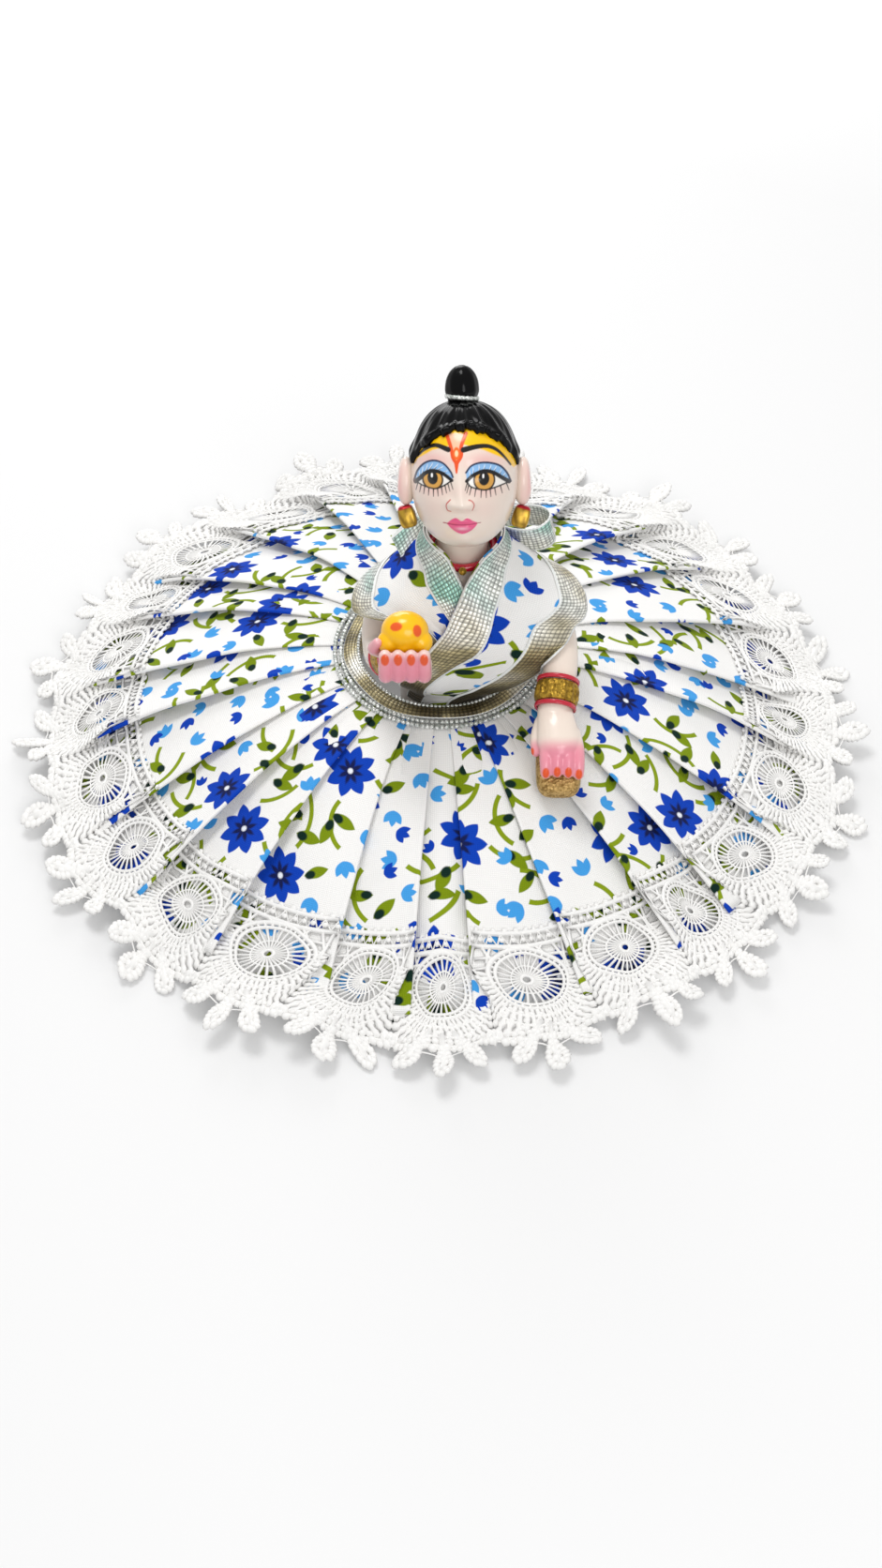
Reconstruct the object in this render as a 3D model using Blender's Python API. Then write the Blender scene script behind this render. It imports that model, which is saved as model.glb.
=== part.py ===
import math

import bmesh
import bpy
from mathutils import Matrix, Vector

MM = 0.001

# Fits between neighbouring pieces
SEAT_GAP = 0.3 * MM
LAYER_GAP = 0.6 * MM

# Skirt: pleated cloth over a stiff lining, with a lace hem lying on the floor
RIM_RADIUS = 138.0 * MM
RIM_FLAT = 4.0 * MM
LACE_INNER_RADIUS = 98.3 * MM
LACE_HEIGHT = 21.3 * MM
LACE_THICK = 1.0 * MM
LACE_REPEATS = 24
HEADING_WIDTH = 6.3 * MM
NET_WIDTH = 2.0 * MM
MEDALLION_HUB = 2.6 * MM
SPOKE_WIDTH = 1.6 * MM
SPOKES = 5
FINGER_LENGTH = 11.0 * MM
FINGER_WIDTH = 5.6 * MM
FINGER_SPREAD = 0.58
SIDE_FINGER_SHORTER = 1.5 * MM
CLOTH_UNDERLAP = 20.0 * MM
CLOTH_THICK = 0.8 * MM
LINING_THICK = 1.2 * MM
PLEATS_PER_SIDE = 12
FIRST_FOLD = 0.3
PLEAT_DEPTH_HEM = 3.5 * MM
PLEAT_DEPTH_WAIST = 0.8 * MM

# Waist opening: a ribbon folded over the raw edges, with two rows of piping beside it
WAIST_HEIGHT = 38.6 * MM
WAIST_RADIUS = 25.5 * MM
BAND_WIDTH = 5.0 * MM
BAND_THICK = 0.9 * MM
PIPING_RADIUS = 0.8 * MM

# Figure: the trunk as level sections of height, centre and half widths
TRUNK_X = 3.5 * MM
TRUNK_SECTIONS = [
    (5.0, 3.0, 2.0, 15.0, 14.0),
    (18.0, 3.0, 1.0, 16.0, 15.0),
    (30.0, 3.2, -2.0, 14.5, 13.5),
    (40.0, 3.5, -5.0, 14.5, 13.0),
    (52.0, 4.5, -6.0, 18.0, 13.5),
    (64.0, 5.5, -6.5, 21.0, 14.0),
    (72.0, 6.0, -6.0, 21.0, 13.5),
    (78.0, 6.0, -5.5, 16.5, 11.0),
    (82.0, 6.0, -5.0, 10.5, 9.0),
    (84.0, 6.0, -5.0, 8.0, 8.0),
]
HIP_RADIUS = 9.0 * MM
HIP_HEIGHT = 16.0 * MM
HIP_BACK = 6.0 * MM
KNEE_RADIUS = 8.5 * MM
ANKLE_RADIUS = 6.0 * MM
KNEE_SPREAD = 8.0 * MM
KNEE_FORWARD = 9.5 * MM
FOOT_BACK = 14.0 * MM
LEG_FLAT = 1.5 * MM

# Head, tipped back to look up
HEAD_X = 6.4 * MM
HEAD_Y = -5.0 * MM
HEAD_LEVEL = 113.0 * MM
HEAD_CENTRE = Vector((HEAD_X, HEAD_Y, HEAD_LEVEL))
HEAD_TILT = math.radians(35.0)
HEAD_HEIGHT = 40.0 * MM
HEAD_WIDTH = 30.5 * MM
HEAD_DEPTH = 36.0 * MM
HEAD_SQUARENESS = 2.5
CROWN_HEIGHT = 18.8 * MM
CROWN_SQUARENESS = 2.1
NECK_RADIUS = 7.6 * MM
NECK_INTO_HEAD = 7.0 * MM
NECK_TOP = HEAD_CENTRE - Vector((0.0, 0.0, HEAD_HEIGHT / 2.0 - NECK_INTO_HEAD))
NOSE_LENGTH = 10.0 * MM
NOSE_WIDTH = 6.0 * MM
NOSE_STANDS_OUT = 3.0 * MM
NOSE_TIP_DROP = 6.6 * MM
NOSE_ROOT = 1.5 * MM
EAR_LENGTH = 12.8 * MM
EAR_THICK = 6.0 * MM
EAR_STANDS_OUT = 4.6 * MM
EAR_DEPTH = 9.0 * MM
EAR_DROP = 1.6 * MM
EAR_BACK = 2.0 * MM
EARRING_HEIGHT = 6.6 * MM
EARRING_WIDTH = 4.9 * MM
EARRING_DEPTH = 5.2 * MM
EARRING_DROP = 0.6 * MM
EARRING_LEAN = math.radians(15.0)

# Hair: a ridged cap, a topknot and the band tied round its foot
HAIR_THICK = 1.6 * MM
HAIR_SEAT = 0.6 * MM
HAIR_RIDGES = 18
HAIR_RIDGE_DEPTH = 0.35 * MM
# Hairline height above the middle of the head at bearings from the front
HAIRLINE = [
    (0.0, 13.4),
    (35.0, 11.4),
    (70.0, 5.6),
    (95.0, 5.8),
    (120.0, 3.0),
    (150.0, -4.0),
    (180.0, -6.0),
]
TOPKNOT_RADIUS = 4.8 * MM
TOPKNOT_HEIGHT = 9.0 * MM
TOPKNOT_FOOT = 3.2 * MM
TOPKNOT_BAND_RADIUS = 0.9 * MM

# Necklace
NECKLACE_RADIUS = 1.2 * MM
PENDANT_RADIUS = 1.2 * MM

# Arms: joints of each limb from the shoulder to the wrist, with the limb's radius there
LEFT_ARM = [
    ((17.0, -6.5, 64.0), 6.0),
    ((26.5, -7.0, 65.5), 6.8),
    ((33.5, -13.5, 61.5), 5.8),
    ((35.4, -25.0, 58.0), 5.2),
    ((33.4, -39.5, 51.0), 4.9),
]
RIGHT_ARM = [
    ((-5.0, -6.5, 64.0), 6.0),
    ((-14.0, -7.0, 65.0), 6.8),
    ((-18.0, -10.5, 59.0), 6.0),
    ((-18.5, -15.0, 55.0), 5.6),
    ((-17.5, -22.5, 57.0), 5.2),
    ((-12.5, -32.5, 66.5), 4.9),
]
# The left hand's knuckles and fingertips: across, along, then height above the skirt there
LEFT_KNUCKLES_AT = (33.9 * MM, -48.5 * MM, 13.4 * MM)
LEFT_FINGERTIP_AT = (34.6 * MM, -57.5 * MM, 10.0 * MM)
RIGHT_PALM = Vector((-10.6 * MM, -38.0 * MM, 72.0 * MM))
PALM_HALF_WIDTH = 7.4 * MM
PALM_HALF_THICK = 4.2 * MM
PALM_HALF_LENGTH = 7.4 * MM
FINGER_RADIUS = 2.0 * MM
FINGER_PITCH = 3.7 * MM
FINGER_RISE = 9.0 * MM
THUMB_RADIUS = 1.8 * MM

# What the hands hold and rest on
SWEET_HALF_WIDTH = 8.0 * MM
SWEET_HALF_DEPTH = 6.6 * MM
SWEET_HEIGHT = 11.0 * MM
BLOCK_WIDTH = 13.4 * MM
BLOCK_LENGTH = 17.0 * MM
BLOCK_BEVEL = 2.6 * MM
HAND_CLEAR = 0.7 * MM

# Bangles: a broad band between two narrow rims on each wrist
BANGLE_BAND_WIDTH = 6.2 * MM
BANGLE_RIM_WIDTH = 1.3 * MM
BANGLE_THICK = 0.8 * MM
BANGLE_FROM_WRIST = 0.8 * MM
BANGLE_CLEAR = 0.6 * MM

# Scarf: the form it drapes over, as sections of height, centre, half widths and squareness
DRAPE_SECTIONS = [
    (34.0, 3.6, -5.0, 14.5, 14.0, 2.2),
    (39.5, 3.9, -5.0, 15.4, 14.6, 2.2),
    (44.0, 4.6, -5.3, 20.0, 16.0, 2.3),
    (50.0, 5.6, -6.0, 26.0, 18.0, 2.5),
    (58.0, 6.8, -7.0, 30.2, 19.2, 2.7),
    (65.0, 7.2, -8.0, 30.6, 19.2, 2.7),
    (72.0, 7.0, -8.0, 26.4, 17.0, 2.5),
    (77.0, 6.5, -7.0, 21.6, 15.0, 2.4),
    (81.0, 6.3, -6.0, 17.4, 13.6, 2.2),
    (84.0, 6.2, -5.2, 14.4, 12.4, 2.1),
    (88.0, 6.2, -4.8, 11.2, 11.0, 2.0),
    (92.0, 6.3, -4.8, 10.3, 10.2, 2.0),
]
# Edges of the scarf as bearing and height: the end on top, then the end that passes under it
SCARF_OVER = [
    ((-52.0, 34.0), (29.0, 34.0)),
    ((-44.0, 42.0), (30.0, 41.0)),
    ((-27.0, 55.0), (42.0, 48.0)),
    ((-13.0, 66.0), (33.0, 57.0)),
    ((-5.0, 76.5), (45.0, 68.0)),
    ((3.0, 82.6), (63.0, 69.5)),
    ((27.0, 87.0), (82.0, 69.5)),
    ((55.0, 89.5), (100.0, 70.0)),
    ((100.0, 90.5), (130.0, 71.0)),
    ((180.0, 90.0), (180.0, 72.5)),
]
SCARF_UNDER = [
    ((260.0, 90.5), (230.0, 71.0)),
    ((305.0, 89.5), (260.0, 70.0)),
    ((333.0, 87.0), (280.0, 69.5)),
    ((357.0, 82.6), (300.0, 69.5)),
    ((365.0, 76.5), (322.0, 70.5)),
    ((373.0, 66.0), (342.0, 71.0)),
    ((380.0, 55.0), (354.0, 60.0)),
    ((388.0, 42.0), (348.0, 44.0)),
    ((392.0, 34.0), (345.0, 35.0)),
]
SCARF_STEPS = 40
SCARF_COLUMNS = 6
SCARF_THICK = 0.6 * MM
TRIM_SHARE = 0.28
TRIM_THICK = 0.5 * MM
TRIM_LIFT = 0.5 * MM

# Bow tied from ribbon at the back of the neck
BOW_BELOW_COLLAR = 11.0 * MM
BOW_HEIGHT = SCARF_OVER[-1][0][1] * MM - BOW_BELOW_COLLAR
BOW_X = 8.0 * MM
BOW_RIBBON_WIDTH = 9.0 * MM
BOW_RIBBON_THICK = 0.6 * MM
BOW_KNOT_WIDTH = 6.0 * MM
BOW_KNOT_DEPTH = 5.0 * MM
BOW_LOOP_LENGTH = 24.0 * MM
BOW_LOOP_OPENING = 10.0 * MM
BOW_TAIL_LENGTH = 24.0 * MM
BOW_TAIL_SPREAD = 6.0 * MM
BOW_TAIL_WAVE = 1.2 * MM

# How finely round pieces are faceted
ROUND_SIDES = 36
HEAD_SIDES = 24
LIMB_SIDES = 12
FINGER_SIDES = 6
SMALL_SIDES = 16

# Colours as seen, then roughness and metallic
FINISHES = {
    "printed_cotton": ((0.90, 0.91, 0.93), 0.85, 0.0),
    "lining": ((0.85, 0.85, 0.85), 0.9, 0.0),
    "white_lace": ((0.93, 0.93, 0.93), 0.8, 0.0),
    "metallic_ribbon": ((0.62, 0.66, 0.58), 0.35, 0.8),
    "silver_piping": ((0.78, 0.78, 0.74), 0.3, 0.8),
    "white_marble": ((0.89, 0.85, 0.80), 0.15, 0.0),
    "black_hair": ((0.01, 0.01, 0.012), 0.12, 0.0),
    "silver_band": ((0.75, 0.75, 0.73), 0.3, 0.7),
    "yellow_sweet": ((0.90, 0.60, 0.02), 0.25, 0.0),
    "gold_paint": ((0.58, 0.38, 0.10), 0.35, 0.8),
    "red_enamel": ((0.55, 0.01, 0.05), 0.2, 0.0),
}


def remove_everything():
    for thing in list(bpy.data.objects):
        bpy.data.objects.remove(thing, do_unlink=True)


def finish_material(name, finish):
    colour, roughness, metallic = FINISHES[finish]
    material = bpy.data.materials.new(name + "_finish")
    material.use_nodes = True
    shader = material.node_tree.nodes["Principled BSDF"]
    shader.inputs["Base Color"].default_value = (*colour, 1.0)
    shader.inputs["Roughness"].default_value = roughness
    shader.inputs["Metallic"].default_value = metallic
    return material


def make_object(name, bm):
    bmesh.ops.recalc_face_normals(bm, faces=bm.faces)
    mesh = bpy.data.meshes.new(name)
    bm.to_mesh(mesh)
    bm.free()
    thing = bpy.data.objects.new(name, mesh)
    bpy.context.scene.collection.objects.link(thing)
    return thing


def finish_object(thing, finish, parent):
    thing.data.materials.clear()
    thing.data.materials.append(finish_material(thing.name, finish))
    thing.data.shade_smooth()
    thing.data.set_sharp_from_angle(angle=math.radians(40.0))
    thing.parent = parent
    thing.matrix_parent_inverse = Matrix.Translation(parent.location).inverted()
    return thing


def make_empty(name, place):
    empty = bpy.data.objects.new(name, None)
    empty.location = place
    bpy.context.scene.collection.objects.link(empty)
    return empty


# Skins a row of matching rings into one closed body
def skin_rings(name, rings, loop=False):
    bm = bmesh.new()
    rows = [[bm.verts.new(point) for point in ring] for ring in rings]
    pairs = list(zip(rows, rows[1:]))
    if loop:
        pairs.append((rows[-1], rows[0]))
    for near, far in pairs:
        for i in range(len(near)):
            j = (i + 1) % len(near)
            bm.faces.new((near[i], near[j], far[j], far[i]))
    if not loop:
        bm.faces.new(rows[0])
        bm.faces.new(rows[-1])
    bmesh.ops.remove_doubles(bm, verts=bm.verts, dist=0.001 * MM)
    return make_object(name, bm)


# Turns a closed outline of radius and height about an upright axis
def turn_outline(name, outline, sides, place=Matrix.Identity(4)):
    rings = []
    for k in range(sides):
        angle = 2.0 * math.pi * k / sides
        ring = [place @ Vector((r * math.cos(angle), r * math.sin(angle), z)) for r, z in outline]
        rings.append(ring)
    return skin_rings(name, rings, loop=True)


def round_outline(centre_radius, centre_height, radius, sides):
    angles = [2.0 * math.pi * k / sides for k in range(sides)]
    return [(centre_radius + radius * math.cos(a), centre_height + radius * math.sin(a)) for a in angles]


# Smooth curve through rows of numbers whose first entry rises
def row_at(table, key):
    key = min(max(key, table[0][0]), table[-1][0])
    k = 0
    while k < len(table) - 2 and key > table[k + 1][0]:
        k += 1
    low, high = table[k], table[k + 1]
    before = table[max(k - 1, 0)]
    after = table[min(k + 2, len(table) - 1)]
    span = high[0] - low[0]
    t = (key - low[0]) / span
    values = []
    for i in range(1, len(low)):
        slope_low = (high[i] - before[i]) / (high[0] - before[0]) * span
        slope_high = (after[i] - low[i]) / (after[0] - low[0]) * span
        values.append(
            low[i] * (2 * t**3 - 3 * t**2 + 1)
            + slope_low * (t**3 - 2 * t**2 + t)
            + high[i] * (3 * t**2 - 2 * t**3)
            + slope_high * (t**3 - t**2)
        )
    return values


# Rings of a limb along a smooth path of joints, rounded off at both ends
def limb_rings(joints, sides, steps, flatten=1.0):
    table = [(float(k), *point, radius) for k, (point, radius) in enumerate(joints)]
    count = steps * (len(joints) - 1)
    rows = [row_at(table, k / steps) for k in range(count + 1)]
    centres = [Vector(row[:3]) for row in rows]
    radii = [row[3] for row in rows]
    first = (centres[0] - centres[1]).normalized()
    last = (centres[-1] - centres[-2]).normalized()
    centres = [centres[0] + first * radii[0] * 0.7] + centres + [centres[-1] + last * radii[-1] * 0.7]
    radii = [radii[0] * 0.6] + radii + [radii[-1] * 0.6]
    rings = []
    side = first.cross(Vector((0.0, 0.0, 1.0)))
    for k, centre in enumerate(centres):
        ahead = centres[min(k + 1, len(centres) - 1)] - centres[max(k - 1, 0)]
        ahead.normalize()
        side = (side - ahead * side.dot(ahead)).normalized()
        over = side.cross(ahead)
        ring = []
        for i in range(sides):
            angle = 2.0 * math.pi * i / sides
            ring.append(centre + radii[k] * (side * math.cos(angle) + over * math.sin(angle) * flatten))
        rings.append(ring)
    return rings


def limb(name, joints, sides=LIMB_SIDES, steps=3, flatten=1.0):
    return skin_rings(name, limb_rings(joints, sides, steps, flatten))


def in_metres(joints):
    return [(Vector(point) * MM, radius * MM) for point, radius in joints]


# Applies a run of solid operations and leaves one plain mesh behind
def combine(thing, others, operation):
    for other in others:
        step = thing.modifiers.new(operation.lower(), "BOOLEAN")
        step.operation = operation
        step.solver = "EXACT"
        step.object = other
    graph = bpy.context.evaluated_depsgraph_get()
    mesh = bpy.data.meshes.new_from_object(thing.evaluated_get(graph))
    thing.modifiers.clear()
    thing.data = mesh
    for other in others:
        bpy.data.objects.remove(other, do_unlink=True)
    return thing


def make_box(name, low, high):
    bm = bmesh.new()
    bmesh.ops.create_cube(bm, size=1.0)
    size = high - low
    for vert in bm.verts:
        vert.co = Vector([low[i] + (vert.co[i] + 0.5) * size[i] for i in range(3)])
    return make_object(name, bm)


def bevel_edges(bm, width, segments):
    bmesh.ops.bevel(bm, geom=list(bm.edges), offset=width, segments=segments, profile=0.5, affect="EDGES")


# Skirt heights
def skirt_edge_radius():
    return WAIST_RADIUS + BAND_WIDTH


def lace_top(radius):
    start = skirt_edge_radius()
    fall = WAIST_HEIGHT - LACE_HEIGHT
    reach = (RIM_RADIUS - RIM_FLAT - start) / (LACE_INNER_RADIUS - start)
    power = math.log((WAIST_HEIGHT - LACE_THICK) / fall) / math.log(reach)
    share = max(radius - start, 0.0) / (LACE_INNER_RADIUS - start)
    return max(WAIST_HEIGHT - fall * share**power, LACE_THICK)


def pleat_crest(radius):
    return lace_top(radius) - LACE_THICK - SEAT_GAP


def hem_radius():
    return LACE_INNER_RADIUS + CLOTH_UNDERLAP


def cloth_start_radius():
    return WAIST_RADIUS + BAND_THICK + SEAT_GAP


def pleat_depth(radius):
    share = (radius - skirt_edge_radius()) / (hem_radius() - skirt_edge_radius())
    share = min(max(share, 0.0), 1.0)
    return PLEAT_DEPTH_WAIST + (PLEAT_DEPTH_HEM - PLEAT_DEPTH_WAIST) * share


def lining_top(radius):
    return pleat_crest(radius) - pleat_depth(radius) - CLOTH_THICK - SEAT_GAP


def skirt_radii():
    start = skirt_edge_radius()
    span = hem_radius() - start
    return [cloth_start_radius()] + [start + span * k / 4 for k in range(5)]


def skirt_cloth():
    fold_heights = [(0.0, 1.0), (0.45, 0.55), (0.9, 0.0)]
    half = [(0.0, 0.3)]
    for k in range(PLEATS_PER_SIDE):
        half += [(k + FIRST_FOLD + at, rise) for at, rise in fold_heights]
    half = [(at, rise) for at, rise in half if at < PLEATS_PER_SIDE - 0.05]
    turn = math.pi / PLEATS_PER_SIDE
    bearings = [(at * turn, rise) for at, rise in half]
    bearings.append((math.pi, 0.3))
    bearings += [(2.0 * math.pi - at * turn, rise) for at, rise in reversed(half[1:])]
    rings = []
    for bearing, rise in bearings:
        across, along = math.sin(bearing), -math.cos(bearing)
        upper = []
        for r in skirt_radii():
            upper.append(Vector((r * across, r * along, pleat_crest(r) - pleat_depth(r) * (1.0 - rise))))
        lower = [point - Vector((0.0, 0.0, CLOTH_THICK)) for point in reversed(upper)]
        rings.append(upper + lower)
    return skin_rings("skirt_cloth", rings, loop=True)


def skirt_lining():
    upper = [(r, lining_top(r)) for r in skirt_radii()]
    lower = [(r, z - LINING_THICK) for r, z in reversed(upper)]
    return turn_outline("skirt_lining", upper + lower, ROUND_SIDES)


def waistband_ribbon():
    outer = skirt_edge_radius()
    inner = WAIST_RADIUS
    over = pleat_crest(outer) + SEAT_GAP
    under = lining_top(outer) - LINING_THICK - SEAT_GAP
    rounding = BAND_THICK * 0.6
    outline = [
        (outer, over),
        (outer, over + BAND_THICK),
        (inner + rounding, over + BAND_THICK),
        (inner, over + BAND_THICK - rounding),
        (inner, under - BAND_THICK + rounding),
        (inner + rounding, under - BAND_THICK),
        (outer, under - BAND_THICK),
        (outer, under),
        (inner + BAND_THICK, under),
        (inner + BAND_THICK, over),
    ]
    return turn_outline("waistband_ribbon", outline, ROUND_SIDES)


def waist_piping(name, row):
    first = skirt_edge_radius() + SEAT_GAP + PIPING_RADIUS
    ring_radius = first + row * (SEAT_GAP + 2.0 * PIPING_RADIUS)
    height = pleat_crest(ring_radius - PIPING_RADIUS) + SEAT_GAP + PIPING_RADIUS
    return turn_outline(name, round_outline(ring_radius, height, PIPING_RADIUS, 6), ROUND_SIDES)


# One lace repeat, drawn flat about its medallion: an outer outline and its gaps
def lace_repeat():
    half_turn = math.pi / LACE_REPEATS
    root = RIM_RADIUS - FINGER_LENGTH
    room = (root - LACE_INNER_RADIUS - HEADING_WIDTH - NET_WIDTH) / 2.0
    medallion = min(room, LACE_INNER_RADIUS * half_turn - SPOKE_WIDTH)
    middle = LACE_INNER_RADIUS + HEADING_WIDTH + medallion
    hub = min(MEDALLION_HUB, medallion * 0.5)

    def at(radius, bearing):
        return Vector((radius * math.sin(bearing), radius * math.cos(bearing)))

    outline = [at(LACE_INNER_RADIUS, -half_turn), at(root - FINGER_WIDTH / 3.0, -half_turn)]
    for k in (-1, 0, 1):
        bearing = k * half_turn * FINGER_SPREAD
        tip = RIM_RADIUS - SIDE_FINGER_SHORTER * abs(k)
        wide = FINGER_WIDTH / 2.0 / RIM_RADIUS
        outline.append(at(root, bearing - wide * 0.6))
        outline.append(at(tip - FINGER_WIDTH * 0.4, bearing - wide))
        outline.append(at(tip, bearing - wide * 0.45))
        outline.append(at(tip, bearing + wide * 0.45))
        outline.append(at(tip - FINGER_WIDTH * 0.4, bearing + wide))
        outline.append(at(root, bearing + wide * 0.6))
    outline += [at(root - FINGER_WIDTH / 3.0, half_turn), at(LACE_INNER_RADIUS, half_turn)]
    outline.append(at(LACE_INNER_RADIUS, 0.0))
    gaps = []
    sector = 2.0 * math.pi / SPOKES
    for k in range(SPOKES):
        inner_half = sector / 2.0 - min(SPOKE_WIDTH / 2.0 / hub, sector * 0.3)
        outer_half = sector / 2.0 - SPOKE_WIDTH / 2.0 / medallion
        corners = [
            (hub, -inner_half),
            (medallion, -outer_half),
            (medallion, outer_half),
            (hub, inner_half),
        ]
        turned = [(r, k * sector + a) for r, a in corners]
        gaps.append([Vector((r * math.sin(a), middle + r * math.cos(a))) for r, a in turned])
    return outline, gaps


def hem_lace():
    outline, gaps = lace_repeat()
    bm = bmesh.new()
    for repeat in range(LACE_REPEATS):
        bearing = 2.0 * math.pi * repeat / LACE_REPEATS
        turn = Matrix.Rotation(bearing, 3, "Z")
        edges = []
        for ring in [outline] + gaps:
            corners = [bm.verts.new(turn @ Vector((p.x, -p.y, 0.0))) for p in ring]
            pairs = zip(corners, corners[1:] + corners[:1])
            edges += [bm.edges.new(pair) for pair in pairs]
        bmesh.ops.triangle_fill(bm, use_beauty=True, use_dissolve=False, edges=edges)
    bmesh.ops.remove_doubles(bm, verts=bm.verts, dist=0.01 * MM)
    for face in bm.faces:
        if face.normal.z < 0.0:
            face.normal_flip()
    for vert in bm.verts:
        vert.co.z = lace_top(vert.co.xy.length)
    rim = [edge for edge in bm.edges if len(edge.link_faces) == 1]
    copied = bmesh.ops.duplicate(bm, geom=list(bm.verts) + list(bm.edges) + list(bm.faces))
    below = copied["vert_map"]
    for face in [item for item in copied["geom"] if isinstance(item, bmesh.types.BMFace)]:
        face.normal_flip()
    for vert in [item for item in copied["geom"] if isinstance(item, bmesh.types.BMVert)]:
        vert.co.z -= LACE_THICK
    for edge in rim:
        one, two = edge.verts
        bm.faces.new((one, two, below[two], below[one]))
    return make_object("hem_lace", bm)


# Trunk and folded legs, cut flat underneath
def trunk_rings(grow):
    rings = []
    for height, x, y, wide, deep in TRUNK_SECTIONS:
        ring = []
        for k in range(LIMB_SIDES + 4):
            angle = 2.0 * math.pi * k / (LIMB_SIDES + 4)
            across = (wide * MM + grow) * math.cos(angle)
            along = (deep * MM + grow) * math.sin(angle)
            ring.append(Vector((x * MM + across, y * MM + along, height * MM)))
        rings.append(ring)
    return rings


def trunk_top():
    height, x, y = TRUNK_SECTIONS[-1][:3]
    return Vector((x, y, height)) * MM


def trunk():
    body = skin_rings("trunk", trunk_rings(0.0))
    legs = []
    for side in (-1.0, 1.0):
        hip = Vector((TRUNK_X + side * KNEE_SPREAD * 0.85, HIP_BACK, HIP_HEIGHT))
        knee = Vector((TRUNK_X + side * KNEE_SPREAD, -KNEE_FORWARD, KNEE_RADIUS - LEG_FLAT))
        foot = Vector((TRUNK_X + side * KNEE_SPREAD, FOOT_BACK, ANKLE_RADIUS - LEG_FLAT))
        legs.append(limb("thigh", [(hip, HIP_RADIUS), (knee, KNEE_RADIUS)]))
        legs.append(limb("shin", [(knee, KNEE_RADIUS * 0.97), (foot, ANKLE_RADIUS)]))
    combine(body, legs, "UNION")
    reach = Vector((WAIST_RADIUS, WAIST_RADIUS, 0.0)) * 2.0
    floor = make_box("floor_cut", -reach - Vector((0.0, 0.0, WAIST_HEIGHT)), reach)
    return combine(body, [floor], "DIFFERENCE")


# Head
def head_frame():
    return Matrix.Translation(HEAD_CENTRE) @ Matrix.Rotation(-HEAD_TILT, 4, "X")


def head_reach(height):
    return CROWN_HEIGHT if height > 0.0 else HEAD_HEIGHT / 2.0


def head_ring_share(height, half_height):
    level = min(abs(height) / half_height, 1.0)
    squareness = CROWN_SQUARENESS if height > 0.0 else HEAD_SQUARENESS
    return (1.0 - level**squareness) ** (1.0 / squareness)


def head_point(bearing, height, grow):
    share = head_ring_share(height, head_reach(height) + grow)
    across = (HEAD_WIDTH / 2.0 + grow) * share * math.sin(bearing)
    along = (HEAD_DEPTH / 2.0 + grow) * share * -math.cos(bearing)
    return Vector((across, along, height))


def ball_rings(centre, half_sizes, sides, levels):
    rings = []
    for k in range(levels):
        tilt = math.pi * (k + 0.35) / (levels - 0.3)
        share = math.sin(tilt)
        height = -half_sizes[2] * math.cos(tilt)
        ring = []
        for i in range(sides):
            angle = 2.0 * math.pi * i / sides
            across = half_sizes[0] * share * math.cos(angle)
            along = half_sizes[1] * share * math.sin(angle)
            ring.append(Vector(centre) + Vector((across, along, height)))
        rings.append(ring)
    return rings


def placed(rings, frame):
    return [[frame @ point for point in ring] for ring in rings]


def ear_middle(side):
    across = HEAD_WIDTH / 2.0 + EAR_STANDS_OUT - EAR_THICK / 2.0
    return Vector((side * across, EAR_BACK, -EAR_DROP))


def nose_rings():
    front = -HEAD_DEPTH / 2.0
    tip = -NOSE_TIP_DROP
    rings = []
    for up, wide, rise in ((0.65, 0.35, 0.05), (0.3, 0.7, 0.55), (0.0, 1.0, 1.0), (-0.15, 0.85, 0.8)):
        height = tip + NOSE_LENGTH * up
        ring = []
        for k in range(FINGER_SIDES):
            angle = 2.0 * math.pi * k / FINGER_SIDES
            across = NOSE_WIDTH / 2.0 * wide * math.cos(angle)
            along = (NOSE_STANDS_OUT * rise + NOSE_ROOT) * math.sin(angle)
            ring.append(Vector((across, front + NOSE_ROOT * 0.8 + along, height)))
        rings.append(ring)
    return rings


def head():
    frame = head_frame()
    rings = []
    levels = 14
    for k in range(levels):
        tilt = math.pi * (k + 0.3) / (levels - 0.4)
        level = -math.cos(tilt)
        height = level * head_reach(level)
        ring = [head_point(2.0 * math.pi * i / HEAD_SIDES, height, 0.0) for i in range(HEAD_SIDES)]
        rings.append([frame @ point for point in ring])
    skull = skin_rings("head", rings)
    base = trunk_top() + Vector((0.0, 0.0, SEAT_GAP))
    neck_rings = []
    for k in range(5):
        centre = base.lerp(NECK_TOP, k / 4.0)
        ring = []
        for i in range(LIMB_SIDES + 2):
            angle = 2.0 * math.pi * i / (LIMB_SIDES + 2)
            ring.append(centre + NECK_RADIUS * Vector((math.cos(angle), math.sin(angle), 0.0)))
        neck_rings.append(ring)
    extras = [skin_rings("neck", neck_rings), skin_rings("nose", placed(nose_rings(), frame))]
    for side in (-1.0, 1.0):
        half = (EAR_THICK / 2.0, EAR_DEPTH / 2.0, EAR_LENGTH / 2.0)
        extras.append(skin_rings("ear", placed(ball_rings(ear_middle(side), half, 10, 7), frame)))
    return combine(skull, extras, "UNION")


def hairline_height(bearing):
    degrees = abs(math.degrees(math.remainder(bearing, 2.0 * math.pi)))
    return row_at(HAIRLINE, degrees)[0] * MM


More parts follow.
